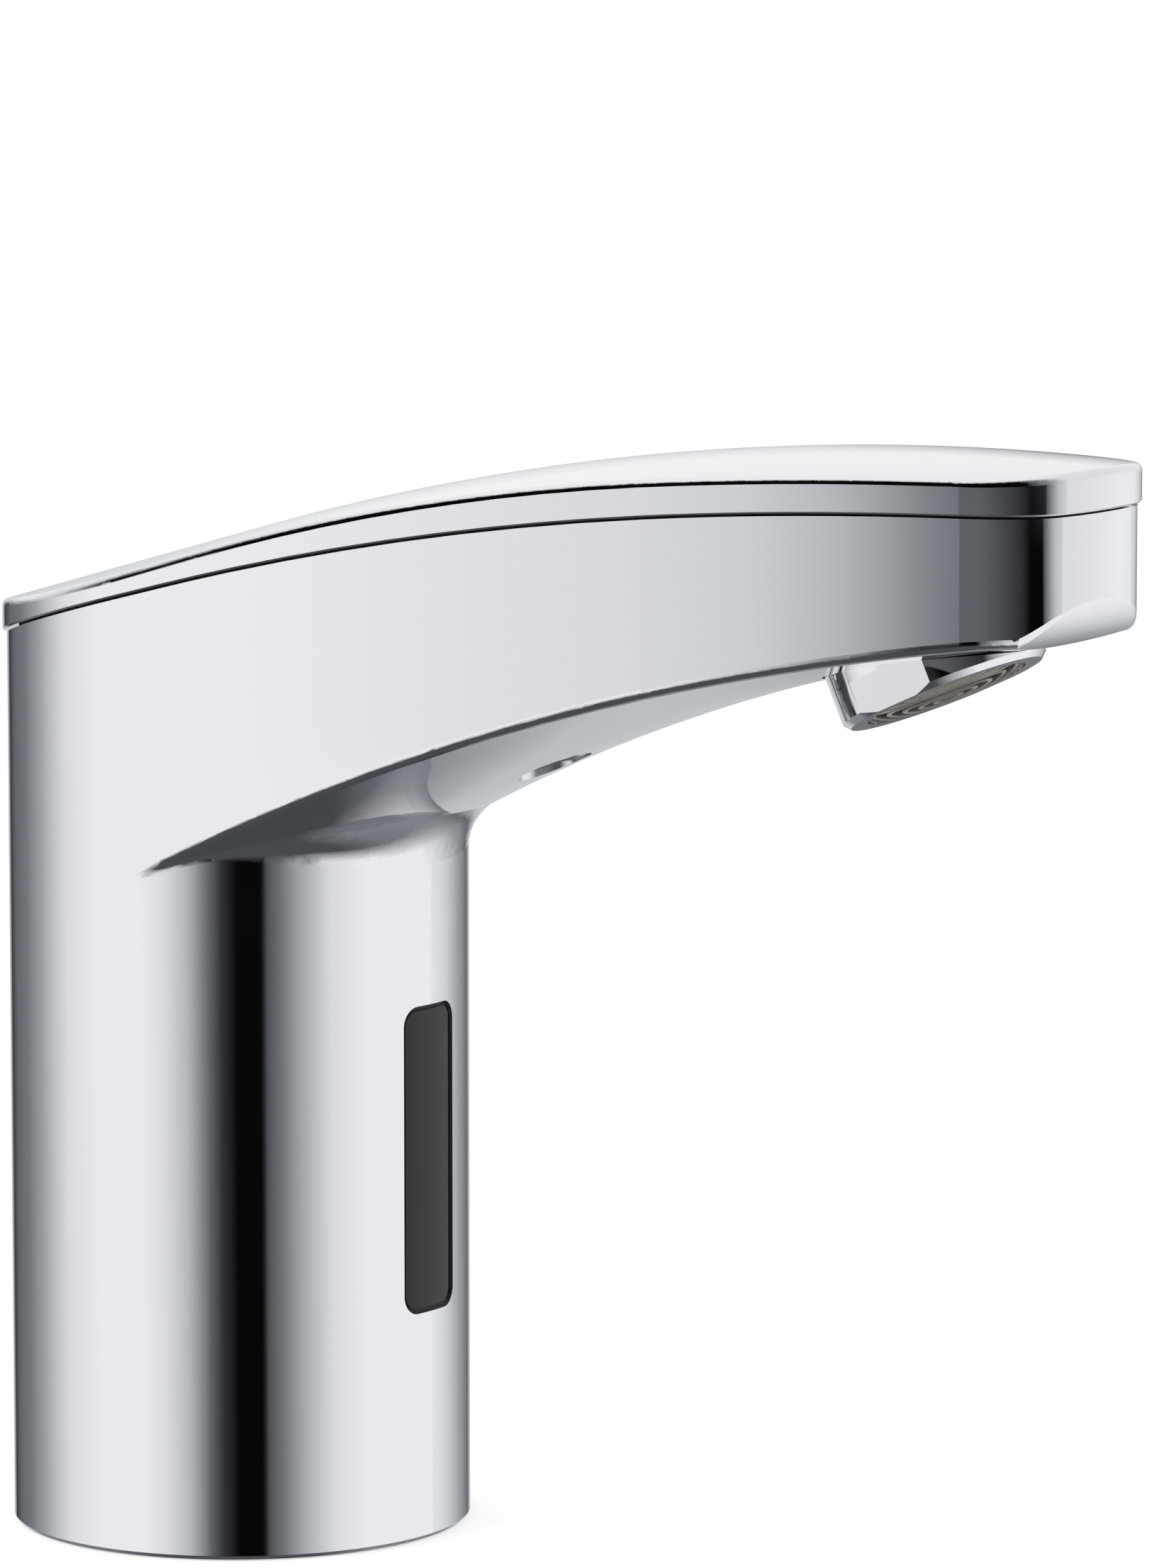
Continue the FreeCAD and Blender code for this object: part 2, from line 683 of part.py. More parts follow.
def make_cover():
    bottom = COVER_GAP / 2
    cover = plan_prism(COVER_OVERHANG, LEDGE_Z, HIGH_Z).common(below_crown(0.0)).cut(below_seam(bottom))
    lower_edges = [e for e in sharp_edges(cover, LEDGE_Z, HIGH_Z) if near_seam(e)]
    cover = cover.makeChamfer(COVER_LOWER_CHAMFER, lower_edges)
    upper_edges = [e for e in sharp_edges(cover, LEDGE_Z, HIGH_Z, COVER_EDGE_ANGLE) if not near_seam(e)]
    cover = cover.makeFillet(COVER_EDGE_ROUND, upper_edges)

    inner = SKIRT_WALL + SKIRT_CLEARANCE + WALL
    behind_nose = block(BACK_X, REACH - NOSE_WALL - SKIRT_CLEARANCE, -SIDE, SIDE, 0, HIGH_Z)
    room = plan_prism(-inner, 0, HIGH_Z).common(below_crown(COVER_TOP_WALL)).common(behind_nose)
    cover = cover.cut(room)
    groove = plan_ring(-SEAL_OUTER_INSET, -SEAL_INNER_INSET)
    cover = cover.cut(groove.common(between_seams(0, COVER_SEAL_HEIGHT)))
    skirt = plan_ring(-WALL - SKIRT_CLEARANCE, -inner).common(between_seams(-SKIRT_DEPTH, SKIRT_DEPTH / 2))
    cover = cover.fuse(skirt.common(behind_nose))

    boss = cylinder(COVER_BOSS_R, PILLAR_TOP_Z + FACE_GAP, HIGH_Z, SCREW_X).common(below_crown(COVER_EDGE_ROUND))
    cover = cover.fuse(boss)
    thread = cylinder(SCREW_THREAD_R + THREAD_CLEARANCE, LEDGE_Z, SCREW_TIP_Z + 1, SCREW_X)
    return one(cover.cut(thread))


def make_cover_seal():
    ring = plan_ring(-SEAL_OUTER_INSET, -SEAL_INNER_INSET)
    return ring.common(between_seams(-COVER_GAP / 2, COVER_SEAL_HEIGHT))


def make_cover_screw():
    head = cylinder(SCREW_HEAD_R, SCREW_SEAT_Z - SCREW_HEAD_HEIGHT, SCREW_SEAT_Z, SCREW_X)
    rim = [e for e in head.Edges if e.BoundBox.ZMax < SCREW_SEAT_Z - SCREW_HEAD_HEIGHT / 2]
    head = head.makeChamfer(SCREW_HEAD_HEIGHT / 5, rim)
    shank = cylinder(SCREW_THREAD_R, SCREW_SEAT_Z, SCREW_TIP_Z, SCREW_X)
    return head.fuse(shank).cut(hexagon(SCREW_HEX, SCREW_SEAT_Z - SCREW_HEAD_HEIGHT, SCREW_HEX_DEPTH, SCREW_X, 0))


# ================================================================ window and sensor
def make_window():
    skin = tube(COLUMN_R - WINDOW_RECESS, COLUMN_R - WINDOW_RECESS - WINDOW_THICKNESS, 0, LEDGE_Z)
    return window_prism(GASKET_WIDTH).common(skin)


def make_gasket():
    outer = COLUMN_R - GASKET_RECESS
    skin = tube(outer, COLUMN_R - WINDOW_RECESS - WINDOW_THICKNESS, 0, LEDGE_Z)
    ring = window_prism(0.0).cut(window_prism(GASKET_WIDTH))
    return ring.common(skin)


def make_sensor_housing():
    half = HOUSING_WIDTH / 2
    low = WINDOW_BOTTOM_Z - HOUSING_RIM
    high = WINDOW_TOP_Z + HOUSING_RIM
    reach = LOWER_BORE_R - BORE_CLEARANCE
    case = block(HOUSING_BACK_X, COLUMN_R, -half, half, low, high).common(cylinder(reach, low, high))
    neck_r = COLUMN_R - WINDOW_RECESS - WINDOW_THICKNESS
    neck = window_prism(FACE_GAP).common(cylinder(neck_r, low, high))
    case = case.fuse(neck)
    inner = block(HOUSING_BACK_X, COLUMN_R, HOUSING_WALL - half, half - HOUSING_WALL,
                  low + HOUSING_WALL, high - HOUSING_WALL)
    case = case.cut(inner.common(cylinder(reach - HOUSING_WALL, low, high)))
    case = case.cut(window_prism(WINDOW_FRAME))
    leg = block(SENSOR_SCREW_X - LEG_SIZE / 2, SENSOR_SCREW_X + LEG_SIZE / 2, -LEG_SIZE / 2, LEG_SIZE / 2,
                WEB_TOP_Z, low + HOUSING_WALL)
    case = case.fuse(leg)
    return one(case.cut(cylinder(M3_R, WEB_TOP_Z, SENSOR_SCREW_TOP_Z, SENSOR_SCREW_X)))


def make_board():
    half = HOUSING_WIDTH / 2 - HOUSING_WALL - BOARD_CLEARANCE
    low = WINDOW_BOTTOM_Z - HOUSING_RIM + HOUSING_WALL + BOARD_CLEARANCE
    high = WINDOW_TOP_Z + HOUSING_RIM - HOUSING_WALL - BOARD_CLEARANCE
    return block(BOARD_BACK_X, BOARD_BACK_X + BOARD_THICKNESS, -half, half, low, high)


def make_chip():
    half = CHIP_SIZE / 2
    middle = (EMITTER_Z + RECEIVER_Z) / 2
    return block(BOARD_BACK_X - CHIP_THICKNESS, BOARD_BACK_X, -half, half, middle - half, middle + half)


def make_lens(z, length):
    """Round light part on the board: a flange, a barrel and a tapered end."""
    tip_r = LENS_R / 2
    outline = [
        (0, 0), (LENS_FLANGE_R, 0), (LENS_FLANGE_R, LENS_FLANGE_HEIGHT), (LENS_R, LENS_FLANGE_HEIGHT),
        (LENS_R, length), (tip_r, length + tip_r), (0, length + tip_r),
    ]
    return turned(outline, Vector(BOARD_BACK_X + BOARD_THICKNESS, 0, z), X_AXIS)


# ================================================================ screws
def hexagon(across_flats, bottom, height, x, y):
    radius = across_flats / math.sqrt(3)
    corners = [Vector(x + radius * math.cos(math.radians(60 * i)), y + radius * math.sin(math.radians(60 * i)),
                      bottom) for i in range(7)]
    return Part.Face(Part.makePolygon(corners)).extrude(Vector(0, 0, height))


def socket_screw(radius, head_radius, head_height, length):
    """Screw that points down from the origin, with its head above."""
    head = cylinder(head_radius, 0, head_height)
    shank = cylinder(radius, -length, 0)
    socket = hexagon(head_radius, head_height / 2, head_height / 2, 0, 0)
    return head.fuse(shank).cut(socket)


def standing(screw, x, y, z):
    placed = screw.copy()
    placed.translate(Vector(x, y, z))
    return placed


def pointing_up(screw, x, y, z):
    placed = screw.copy()
    placed.rotate(Vector(0, 0, 0), X_AXIS, 180)
    placed.translate(Vector(x, y, z))
    return placed


# ================================================================ water way
BARB_R = HOSE_BORE_R - THREAD_CLEARANCE
CHANNEL_Z = WEB_TOP_Z + CHANNEL_RISE


def make_valve_block():
    solid = cylinder(BLOCK_R, WEB_TOP_Z, BLOCK_TOP_Z, VALVE_X)
    arm = cylinder(ARM_R, WEB_TOP_Z, BLOCK_TOP_Z, HOSE_X, HOSE_Y)
    reach = math.hypot(HOSE_X - VALVE_X, HOSE_Y)
    web = block(0, reach, -ARM_R, ARM_R, WEB_TOP_Z, BLOCK_TOP_Z)
    web.rotate(Vector(0, 0, 0), UP, math.degrees(math.atan2(HOSE_Y, HOSE_X - VALVE_X)))
    web.translate(X_AXIS * VALVE_X)
    solid = solid.fuse(arm).fuse(web)
    solid = solid.common(cylinder(LOWER_BORE_R - BORE_CLEARANCE, WEB_TOP_Z, BLOCK_TOP_Z))
    solid = solid.fuse(cylinder(INLET_SPIGOT_R, INLET_MOUTH_Z, WEB_TOP_Z, INLET_X))
    solid = solid.fuse(cylinder(BARB_R, BLOCK_TOP_Z, BLOCK_TOP_Z + BARB_LENGTH, HOSE_X, HOSE_Y))

    chamber_z = BLOCK_TOP_Z - BLOCK_CHAMBER_DEPTH
    seat_z = BLOCK_TOP_Z - SEAT_BELOW_TOP
    solid = solid.cut(tube(BLOCK_CHAMBER_R, SEAT_R + SEAT_WALL, chamber_z, BLOCK_TOP_Z, VALVE_X))
    solid = solid.cut(cylinder(SEAT_R + SEAT_WALL, seat_z, BLOCK_TOP_Z, VALVE_X))
    solid = solid.cut(cylinder(SEAT_R, CHANNEL_Z, BLOCK_TOP_Z, VALVE_X))

    channel = Part.makeCylinder(BARB_R, reach, Vector(VALVE_X, 0, CHANNEL_Z), Vector(HOSE_X - VALVE_X, HOSE_Y, 0))
    solid = solid.cut(channel)
    riser_top = BLOCK_TOP_Z + BARB_LENGTH
    solid = solid.cut(cylinder(BARB_R - BARB_WALL, CHANNEL_Z, riser_top, HOSE_X, HOSE_Y))

    thread_top = INLET_MOUTH_Z + INLET_THREAD_LENGTH
    strainer_top = thread_top + STRAINER_LENGTH + FACE_GAP
    solid = solid.cut(cylinder(INLET_THREAD_R, INLET_MOUTH_Z, thread_top, INLET_X))
    solid = solid.cut(cylinder(STRAINER_R + THREAD_CLEARANCE, thread_top, strainer_top, INLET_X))
    solid = solid.cut(cylinder(STRAINER_RIM_R + THREAD_CLEARANCE, thread_top, thread_top + STRAINER_WALL, INLET_X))
    solid = solid.cut(cylinder(INLET_WAY_R, thread_top, chamber_z, INLET_X))

    for x, y in block_screw_places():
        solid = solid.cut(cylinder(M3_R, WEB_TOP_Z, BLOCK_SCREW_TOP_Z, x, y))
    for x, y in bonnet_screw_places():
        solid = solid.cut(cylinder(M3_R, BLOCK_TOP_Z - BONNET_SCREW_DEPTH, BLOCK_TOP_Z, x, y))
    return one(solid)


def make_strainer():
    bottom = INLET_MOUTH_Z + INLET_THREAD_LENGTH
    rim = cylinder(STRAINER_RIM_R, bottom, bottom + STRAINER_WALL, INLET_X)
    cup = cylinder(STRAINER_R, bottom, bottom + STRAINER_LENGTH, INLET_X)
    inside = cylinder(STRAINER_R - STRAINER_WALL, bottom, bottom + STRAINER_LENGTH - STRAINER_WALL, INLET_X)
    return one(rim.fuse(cup).cut(inside))


HOSE_END = (-HOLDER_R - FACE_GAP, 0.0, BARB_Z)


def hose_route():
    """Corners of the hose's line, from the valve to the outlet."""
    end = OUTLET_FRAME.multVec(Vector(*HOSE_END))
    last = OUTLET_FRAME.multVec(Vector(HOSE_END[0] - HOSE_LAST_RUN, 0, BARB_Z))
    return [
        Vector(HOSE_X, HOSE_Y, BLOCK_TOP_Z),
        Vector(HOSE_X, HOSE_Y, HOSE_BEND_Z),
        Vector(*HOSE_PASS),
        last,
        end,
    ]


def rounded_path(points):
    """Straight runs joined by tangent arcs, each as large as its two runs allow."""
    edges = []
    start = points[0]
    for before, corner, after in zip(points, points[1:], points[2:]):
        into = (corner - before).normalize()
        out = (after - corner).normalize()
        turn = into.getAngle(out)
        cut = BEND_SHARE * min((corner - before).Length, (after - corner).Length)
        radius = cut / math.tan(turn / 2)
        first = corner - into * cut
        last = corner + out * cut
        inward = (out - into).normalize()
        middle = corner + inward * (radius / math.cos(turn / 2) - radius)
        edges.append(Part.LineSegment(start, first).toShape())
        edges.append(Part.Arc(first, middle, last).toShape())
        start = last
    edges.append(Part.LineSegment(start, points[-1]).toShape())
    return Part.Wire(edges)


def pipe(path, radius):
    first = path.Edges[0]
    start = first.valueAt(first.FirstParameter)
    along = first.tangentAt(first.FirstParameter)
    ring = Part.Wire([Part.Circle(start, along, radius).toShape()])
    return path.makePipeShell([ring], True, False)


def make_hose():
    path = rounded_path(hose_route())
    hose = pipe(path, HOSE_R).cut(pipe(path, HOSE_BORE_R))
    expected = math.pi * (HOSE_R ** 2 - HOSE_BORE_R ** 2) * path.Length
    print(f"hose length {path.Length:.1f}, volume over section times length {hose.Volume / expected:.4f}")
    return hose


def make_outlet_holder():
    thread_r = AERATOR_THREAD_R + THREAD_CLEARANCE
    spigot_r = AERATOR_R + COLLAR_CLEARANCE - SHANK_CLEARANCE
    spigot_z = COLLAR_HEIGHT + FACE_GAP
    shoulder_z = AERATOR_HEIGHT + AERATOR_SEAL_HEIGHT
    holder = cylinder(HOLDER_R, OUTLET_BOSS_HEIGHT, HOLDER_HEIGHT)
    crown = [e for e in holder.Edges if e.BoundBox.ZMin > HOLDER_HEIGHT - HOLDER_CHAMFER]
    holder = holder.makeChamfer(HOLDER_CHAMFER, crown)
    holder = holder.fuse(cylinder(spigot_r, spigot_z, OUTLET_BOSS_HEIGHT))
    for y in (HOLDER_SCREW_REACH, -HOLDER_SCREW_REACH):
        ear = cylinder(M25_HEAD_R, OUTLET_BOSS_HEIGHT, OUTLET_BOSS_HEIGHT + HOLDER_EAR_HEIGHT, 0, y)
        bridge = block(-M25_HEAD_R, M25_HEAD_R, min(0, y), max(0, y),
                       OUTLET_BOSS_HEIGHT, OUTLET_BOSS_HEIGHT + HOLDER_EAR_HEIGHT)
        holder = holder.fuse(ear).fuse(bridge)
    barb_foot = Vector(-HOLDER_R + BARB_WALL, 0, BARB_Z)
    barb = Part.makeCylinder(BARB_R, BARB_LENGTH + BARB_WALL, barb_foot, -X_AXIS)
    holder = holder.fuse(barb)
    holder = holder.cut(cylinder(thread_r, spigot_z, shoulder_z))
    holder = holder.cut(cylinder(CHAMBER_R, shoulder_z, HOLDER_HEIGHT - HOLDER_CROWN_WALL))
    way = Part.makeCylinder(BARB_R - BARB_WALL, BARB_LENGTH + HOLDER_R, Vector(0, 0, BARB_Z), -X_AXIS)
    holder = holder.cut(way)
    for y in (HOLDER_SCREW_REACH, -HOLDER_SCREW_REACH):
        holder = holder.cut(cylinder(M25_R + THREAD_CLEARANCE, 0, HOLDER_HEIGHT, 0, y))
    return at_outlet(one(holder))


# ================================================================ aerator
def make_aerator_housing():
    outline = [
        (LIP_R, 0.0), (AERATOR_R - AERATOR_CHAMFER, 0.0), (AERATOR_R, AERATOR_CHAMFER),
        (AERATOR_R, COLLAR_HEIGHT - AERATOR_CHAMFER / 2), (AERATOR_R - AERATOR_CHAMFER / 2, COLLAR_HEIGHT),
        (AERATOR_THREAD_R, COLLAR_HEIGHT), (AERATOR_THREAD_R, AERATOR_HEIGHT),
        (AERATOR_BORE_R, AERATOR_HEIGHT), (AERATOR_BORE_R, LIP_HEIGHT), (LIP_R, LIP_HEIGHT),
    ]
    housing = turned(outline, Vector(0, 0, 0), UP)
    for side in (1, -1):
        low, high = sorted((side * AERATOR_FLATS / 2, side * 2 * AERATOR_R))
        flat = block(low, high, -AERATOR_R, AERATOR_R, -1, FLATS_HEIGHT)
        flat.rotate(Vector(0, 0, 0), UP, FLATS_TURN)
        housing = housing.cut(flat)
    return at_outlet(housing)


def make_aerator_insert():
    radius = AERATOR_BORE_R - THREAD_CLEARANCE
    top = AERATOR_HEIGHT - STRAINER_HEIGHT
    insert = cylinder(radius, LIP_HEIGHT + FACE_GAP, top)
    step = radius / (INSERT_RINGS + 0.5)
    for i in range(INSERT_RINGS):
        outer = step * (i + 1) - RING_WIDTH
        inner = step * i
        groove = cylinder(outer, LIP_HEIGHT, LIP_HEIGHT + FACE_GAP + RING_DEPTH)
        if i:
            groove = groove.cut(cylinder(inner, LIP_HEIGHT, LIP_HEIGHT + FACE_GAP + RING_DEPTH))
        insert = insert.cut(groove)
    return at_outlet(insert)


def make_aerator_strainer():
    radius = AERATOR_BORE_R - THREAD_CLEARANCE
    return at_outlet(cylinder(radius, AERATOR_HEIGHT - STRAINER_HEIGHT, AERATOR_HEIGHT))


def make_aerator_seal():
    outer = AERATOR_THREAD_R - THREAD_CLEARANCE
    return at_outlet(tube(outer, CHAMBER_R, AERATOR_HEIGHT, AERATOR_HEIGHT + AERATOR_SEAL_HEIGHT))


# ================================================================ solenoid valve
SEAT_Z = BLOCK_TOP_Z - SEAT_BELOW_TOP
BONNET_Z = BLOCK_TOP_Z + DIAPHRAGM_THICKNESS
PLATE_Z = SEAT_Z + DIAPHRAGM_THICKNESS
NUB_Z = PLATE_Z + PLATE_THICKNESS + NUB_HEIGHT
ROOM_TOP_Z = BONNET_Z + PRESSURE_ROOM_HEIGHT
YOKE_Z = BONNET_Z + BONNET_HEIGHT
COIL_Z = YOKE_Z + YOKE_THICKNESS
YOKE_TOP_Z = COIL_Z + COIL_HEIGHT
PLUNGER_Z = NUB_Z + TIP_PROUD
PLUNGER_TOP_Z = PLUNGER_Z + PLUNGER_LENGTH
POLE_Z = PLUNGER_TOP_Z + PLUNGER_TRAVEL + PLUNGER_STOP_GAP
MAGNET_Z = YOKE_TOP_Z + YOKE_THICKNESS
CLIP_Z = MAGNET_Z + MAGNET_HEIGHT
TUBE_TOP_Z = CLIP_Z + CLIP_HEIGHT + TUBE_ABOVE_CLIP


def on_valve(outline):
    return turned(outline, Vector(VALVE_X, 0, 0), UP)


def bonnet_screw_places():
    places = []
    for i in range(BONNET_SCREWS):
        turn = math.radians(360.0 * (i + 0.5) / BONNET_SCREWS)
        places.append((VALVE_X + BONNET_SCREW_RING * math.cos(turn), BONNET_SCREW_RING * math.sin(turn)))
    return places


def make_diaphragm():
    edge = SEAT_R + SEAT_WALL + DISH_MARGIN
    top = BLOCK_TOP_Z + DIAPHRAGM_THICKNESS
    return on_valve([
        (PILOT_R, SEAT_Z), (edge, SEAT_Z), (edge + SEAT_BELOW_TOP, BLOCK_TOP_Z), (DIAPHRAGM_R, BLOCK_TOP_Z),
        (DIAPHRAGM_R, top), (edge + SEAT_BELOW_TOP, top), (edge, PLATE_Z), (PILOT_R, PLATE_Z),
    ])


def make_diaphragm_plate():
    top = PLATE_Z + PLATE_THICKNESS
    return on_valve([
        (PILOT_R, PLATE_Z), (PLATE_R, PLATE_Z), (PLATE_R, top), (NUB_R, top), (NUB_R, NUB_Z), (PILOT_R, NUB_Z),
    ])


def make_bonnet():
    bonnet = cylinder(BONNET_R, BONNET_Z, YOKE_Z, VALVE_X)
    for x, y in bonnet_screw_places():
        bonnet = bonnet.fuse(cylinder(BONNET_EAR_R, BONNET_Z, BONNET_Z + BONNET_EAR_HEIGHT, x, y))
    bonnet = bonnet.cut(cylinder(PRESSURE_ROOM_R, BONNET_Z, ROOM_TOP_Z, VALVE_X))
    bonnet = bonnet.cut(cylinder(TUBE_R, ROOM_TOP_Z, YOKE_Z, VALVE_X))
    for x, y in bonnet_screw_places():
        bonnet = bonnet.cut(cylinder(M3_R + THREAD_CLEARANCE, BONNET_Z, YOKE_Z, x, y))
        bonnet = bonnet.cut(cylinder(M3_HEAD_R + THREAD_CLEARANCE, BONNET_Z + BONNET_EAR_HEIGHT, YOKE_Z, x, y))
    return one(bonnet)


def make_core_tube():
    inner = TUBE_R - TUBE_WALL
    return on_valve([
        (inner, ROOM_TOP_Z), (TUBE_R, ROOM_TOP_Z), (TUBE_R, TUBE_TOP_Z), (0, TUBE_TOP_Z),
        (0, TUBE_TOP_Z - TUBE_WALL), (inner, TUBE_TOP_Z - TUBE_WALL),
    ])


def make_pole_piece():
    return cylinder(TUBE_R - TUBE_WALL, POLE_Z, TUBE_TOP_Z - TUBE_WALL, VALVE_X)


def make_plunger():
    radius = TUBE_R - TUBE_WALL - PLUNGER_RUNNING
    plunger = cylinder(radius, PLUNGER_Z, PLUNGER_TOP_Z, VALVE_X)
    pocket_r = SPRING_COIL_R + SPRING_WIRE_R + SPRING_CLEARANCE
    plunger = plunger.cut(cylinder(pocket_r, PLUNGER_TOP_Z - SPRING_POCKET_DEPTH, PLUNGER_TOP_Z, VALVE_X))
    return plunger.cut(cylinder(TIP_R, PLUNGER_Z, NUB_Z + TIP_HEIGHT, VALVE_X))


def make_plunger_tip():
    return cylinder(TIP_R, NUB_Z, NUB_Z + TIP_HEIGHT, VALVE_X)


def make_plunger_spring():
    bottom = PLUNGER_TOP_Z - SPRING_POCKET_DEPTH
    height = POLE_Z - bottom - 2 * SPRING_WIRE_R
    foot = Vector(VALVE_X, 0, bottom + SPRING_WIRE_R)

    def on_coil(turns):
        angle = 2 * math.pi * turns
        return foot + Vector(SPRING_COIL_R * math.cos(angle), SPRING_COIL_R * math.sin(angle),
                             height * turns / SPRING_TURNS)

    quarters = [Part.Arc(on_coil(i / 4), on_coil((i + 0.5) / 4), on_coil((i + 1) / 4)).toShape()
                for i in range(4 * SPRING_TURNS)]
    start = on_coil(0)
    corners = [start + X_AXIS * (SPRING_WIRE_R * math.cos(math.radians(60 * i)))
               + UP * (SPRING_WIRE_R * math.sin(math.radians(60 * i))) for i in range(7)]
    return Part.Wire(quarters).makePipeShell([Part.makePolygon(corners)], True, False)


def make_yoke():
    half = YOKE_WIDTH / 2
    back = VALVE_X - BOBBIN_R - FACE_GAP
    front = VALVE_X + BOBBIN_R
    yoke = block(back - YOKE_THICKNESS, front, -half, half, YOKE_Z, YOKE_TOP_Z + YOKE_THICKNESS)
    yoke = yoke.cut(block(back, front, -half, half, COIL_Z, YOKE_TOP_Z))
    return yoke.cut(cylinder(TUBE_R, YOKE_Z, MAGNET_Z, VALVE_X))


def make_bobbin():
    inner = TUBE_R + SHANK_CLEARANCE
    hub = inner + BOBBIN_WALL
    return on_valve([
        (inner, COIL_Z), (BOBBIN_R, COIL_Z), (BOBBIN_R, COIL_Z + BOBBIN_WALL), (hub, COIL_Z + BOBBIN_WALL),
        (hub, YOKE_TOP_Z - BOBBIN_WALL), (BOBBIN_R, YOKE_TOP_Z - BOBBIN_WALL), (BOBBIN_R, YOKE_TOP_Z),
        (inner, YOKE_TOP_Z),
    ])


def make_winding():
    hub = TUBE_R + SHANK_CLEARANCE + BOBBIN_WALL
    return tube(WINDING_R, hub, COIL_Z + BOBBIN_WALL, YOKE_TOP_Z - BOBBIN_WALL, VALVE_X)


def make_magnet():
    return tube(MAGNET_R, TUBE_R, MAGNET_Z, CLIP_Z, VALVE_X)


def make_clip():
    return tube(CLIP_R, TUBE_R, CLIP_Z, CLIP_Z + CLIP_HEIGHT, VALVE_X)


# ================================================================ battery
CONTACT_Z = LEDGE_Z + HOLDER_FLOOR
BATTERY_Z = CONTACT_Z + CONTACT_HEIGHT


def battery_box(grown, corner, bottom, top):
    face = rounded_rectangle(BATTERY_LENGTH + 2 * grown, BATTERY_WIDTH + 2 * grown, corner,
                             Vector(BATTERY_X, BATTERY_Y, bottom), X_AXIS, Y_AXIS)
    return face.extrude(Vector(0, 0, top - bottom))


def make_battery():
    return battery_box(0.0, BATTERY_CORNER_R, BATTERY_Z, BATTERY_Z + BATTERY_HEIGHT)


def make_battery_holder():
    reach = COLUMN_R - WALL - BORE_CLEARANCE
    room = BATTERY_CLEARANCE
    wall = BATTERY_CLEARANCE + HOLDER_WALL
    top = CONTACT_Z + HOLDER_RISE
    cup = battery_box(wall, BATTERY_CORNER_R + wall, LEDGE_Z, top)
    holder = cup.fuse(cylinder(reach, LEDGE_Z, CONTACT_Z)).common(cylinder(reach, LEDGE_Z, top))
    holder = holder.cut(battery_box(room, BATTERY_CORNER_R + room, CONTACT_Z, top))
    holder = holder.cut(cylinder(HOSE_R + HOSE_NOTCH_CLEARANCE, LEDGE_Z, top, HOSE_X, HOSE_Y))
    holder = holder.cut(block(BATTERY_X + BATTERY_LENGTH / 2 + wall, COLUMN_R, -LEAD_SLOT / 2, LEAD_SLOT / 2,
                              LEDGE_Z, CONTACT_Z))
    return one(holder)


def make_contacts():
    discs = [cylinder(CONTACT_R, CONTACT_Z, BATTERY_Z, BATTERY_X + side * CONTACT_PITCH / 2, BATTERY_Y)
             for side in (-1, 1)]
    return Part.makeCompound(discs)


# ================================================================ write every sub-part
screw_m3 = socket_screw(M3_R, M3_HEAD_R, M3_HEAD_HEIGHT, BLOCK_SCREW_TOP_Z - WEB_BOTTOM_Z)
sensor_m3 = socket_screw(M3_R, M3_HEAD_R, M3_HEAD_HEIGHT, SENSOR_SCREW_TOP_Z - WEB_BOTTOM_Z)
bonnet_m3 = socket_screw(M3_R, M3_HEAD_R, M3_HEAD_HEIGHT,
                         BONNET_SCREW_DEPTH + DIAPHRAGM_THICKNESS + BONNET_EAR_HEIGHT)
holder_m25 = socket_screw(M25_R, M25_HEAD_R, M25_HEAD_HEIGHT,
                          OUTLET_BOSS_HEIGHT + HOLDER_EAR_HEIGHT - HOLDER_SCREW_END)

save("body", make_body())
save("top_cover", make_cover())
save("cover_seal", make_cover_seal())
save("cover_screw", make_cover_screw())
save("base_seal", base_seal_ring())
save("sensor_window", make_window())
save("window_gasket", make_gasket())
save("sensor_housing", make_sensor_housing())
save("circuit_board", make_board())
save("control_chip", make_chip())
save("infrared_emitter", make_lens(EMITTER_Z, EMITTER_LENGTH))
save("infrared_receiver", make_lens(RECEIVER_Z, RECEIVER_LENGTH))
save("sensor_screw", pointing_up(sensor_m3, SENSOR_SCREW_X, 0, WEB_BOTTOM_Z))
save("valve_block", make_valve_block())
save("block_screws", Part.makeCompound([pointing_up(screw_m3, x, y, WEB_BOTTOM_Z)
                                        for x, y in block_screw_places()]))
save("inlet_strainer", make_strainer())
save("water_hose", make_hose())
save("outlet_holder", make_outlet_holder())
save("holder_screws", Part.makeCompound([
    at_outlet(standing(holder_m25, 0, y, OUTLET_BOSS_HEIGHT + HOLDER_EAR_HEIGHT))
    for y in (HOLDER_SCREW_REACH, -HOLDER_SCREW_REACH)]))
save("aerator_housing", make_aerator_housing())
save("aerator_insert", make_aerator_insert())
save("aerator_strainer", make_aerator_strainer())
save("aerator_seal", make_aerator_seal())
save("diaphragm", make_diaphragm())
save("diaphragm_plate", make_diaphragm_plate())
save("valve_bonnet", make_bonnet())
save("bonnet_screws", Part.makeCompound([standing(bonnet_m3, x, y, BONNET_Z + BONNET_EAR_HEIGHT)
                                         for x, y in bonnet_screw_places()]))
save("core_tube", make_core_tube())
save("pole_piece", make_pole_piece())
save("plunger", make_plunger())
save("plunger_tip", make_plunger_tip())
save("plunger_spring", make_plunger_spring())
save("coil_yoke", make_yoke())
save("coil_bobbin", make_bobbin())
save("coil_winding", make_winding())
save("latch_magnet", make_magnet())
save("tube_clip", make_clip())
save("battery_holder", make_battery_holder())
save("battery_contacts", make_contacts())
save("battery", make_battery())
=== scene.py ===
import math

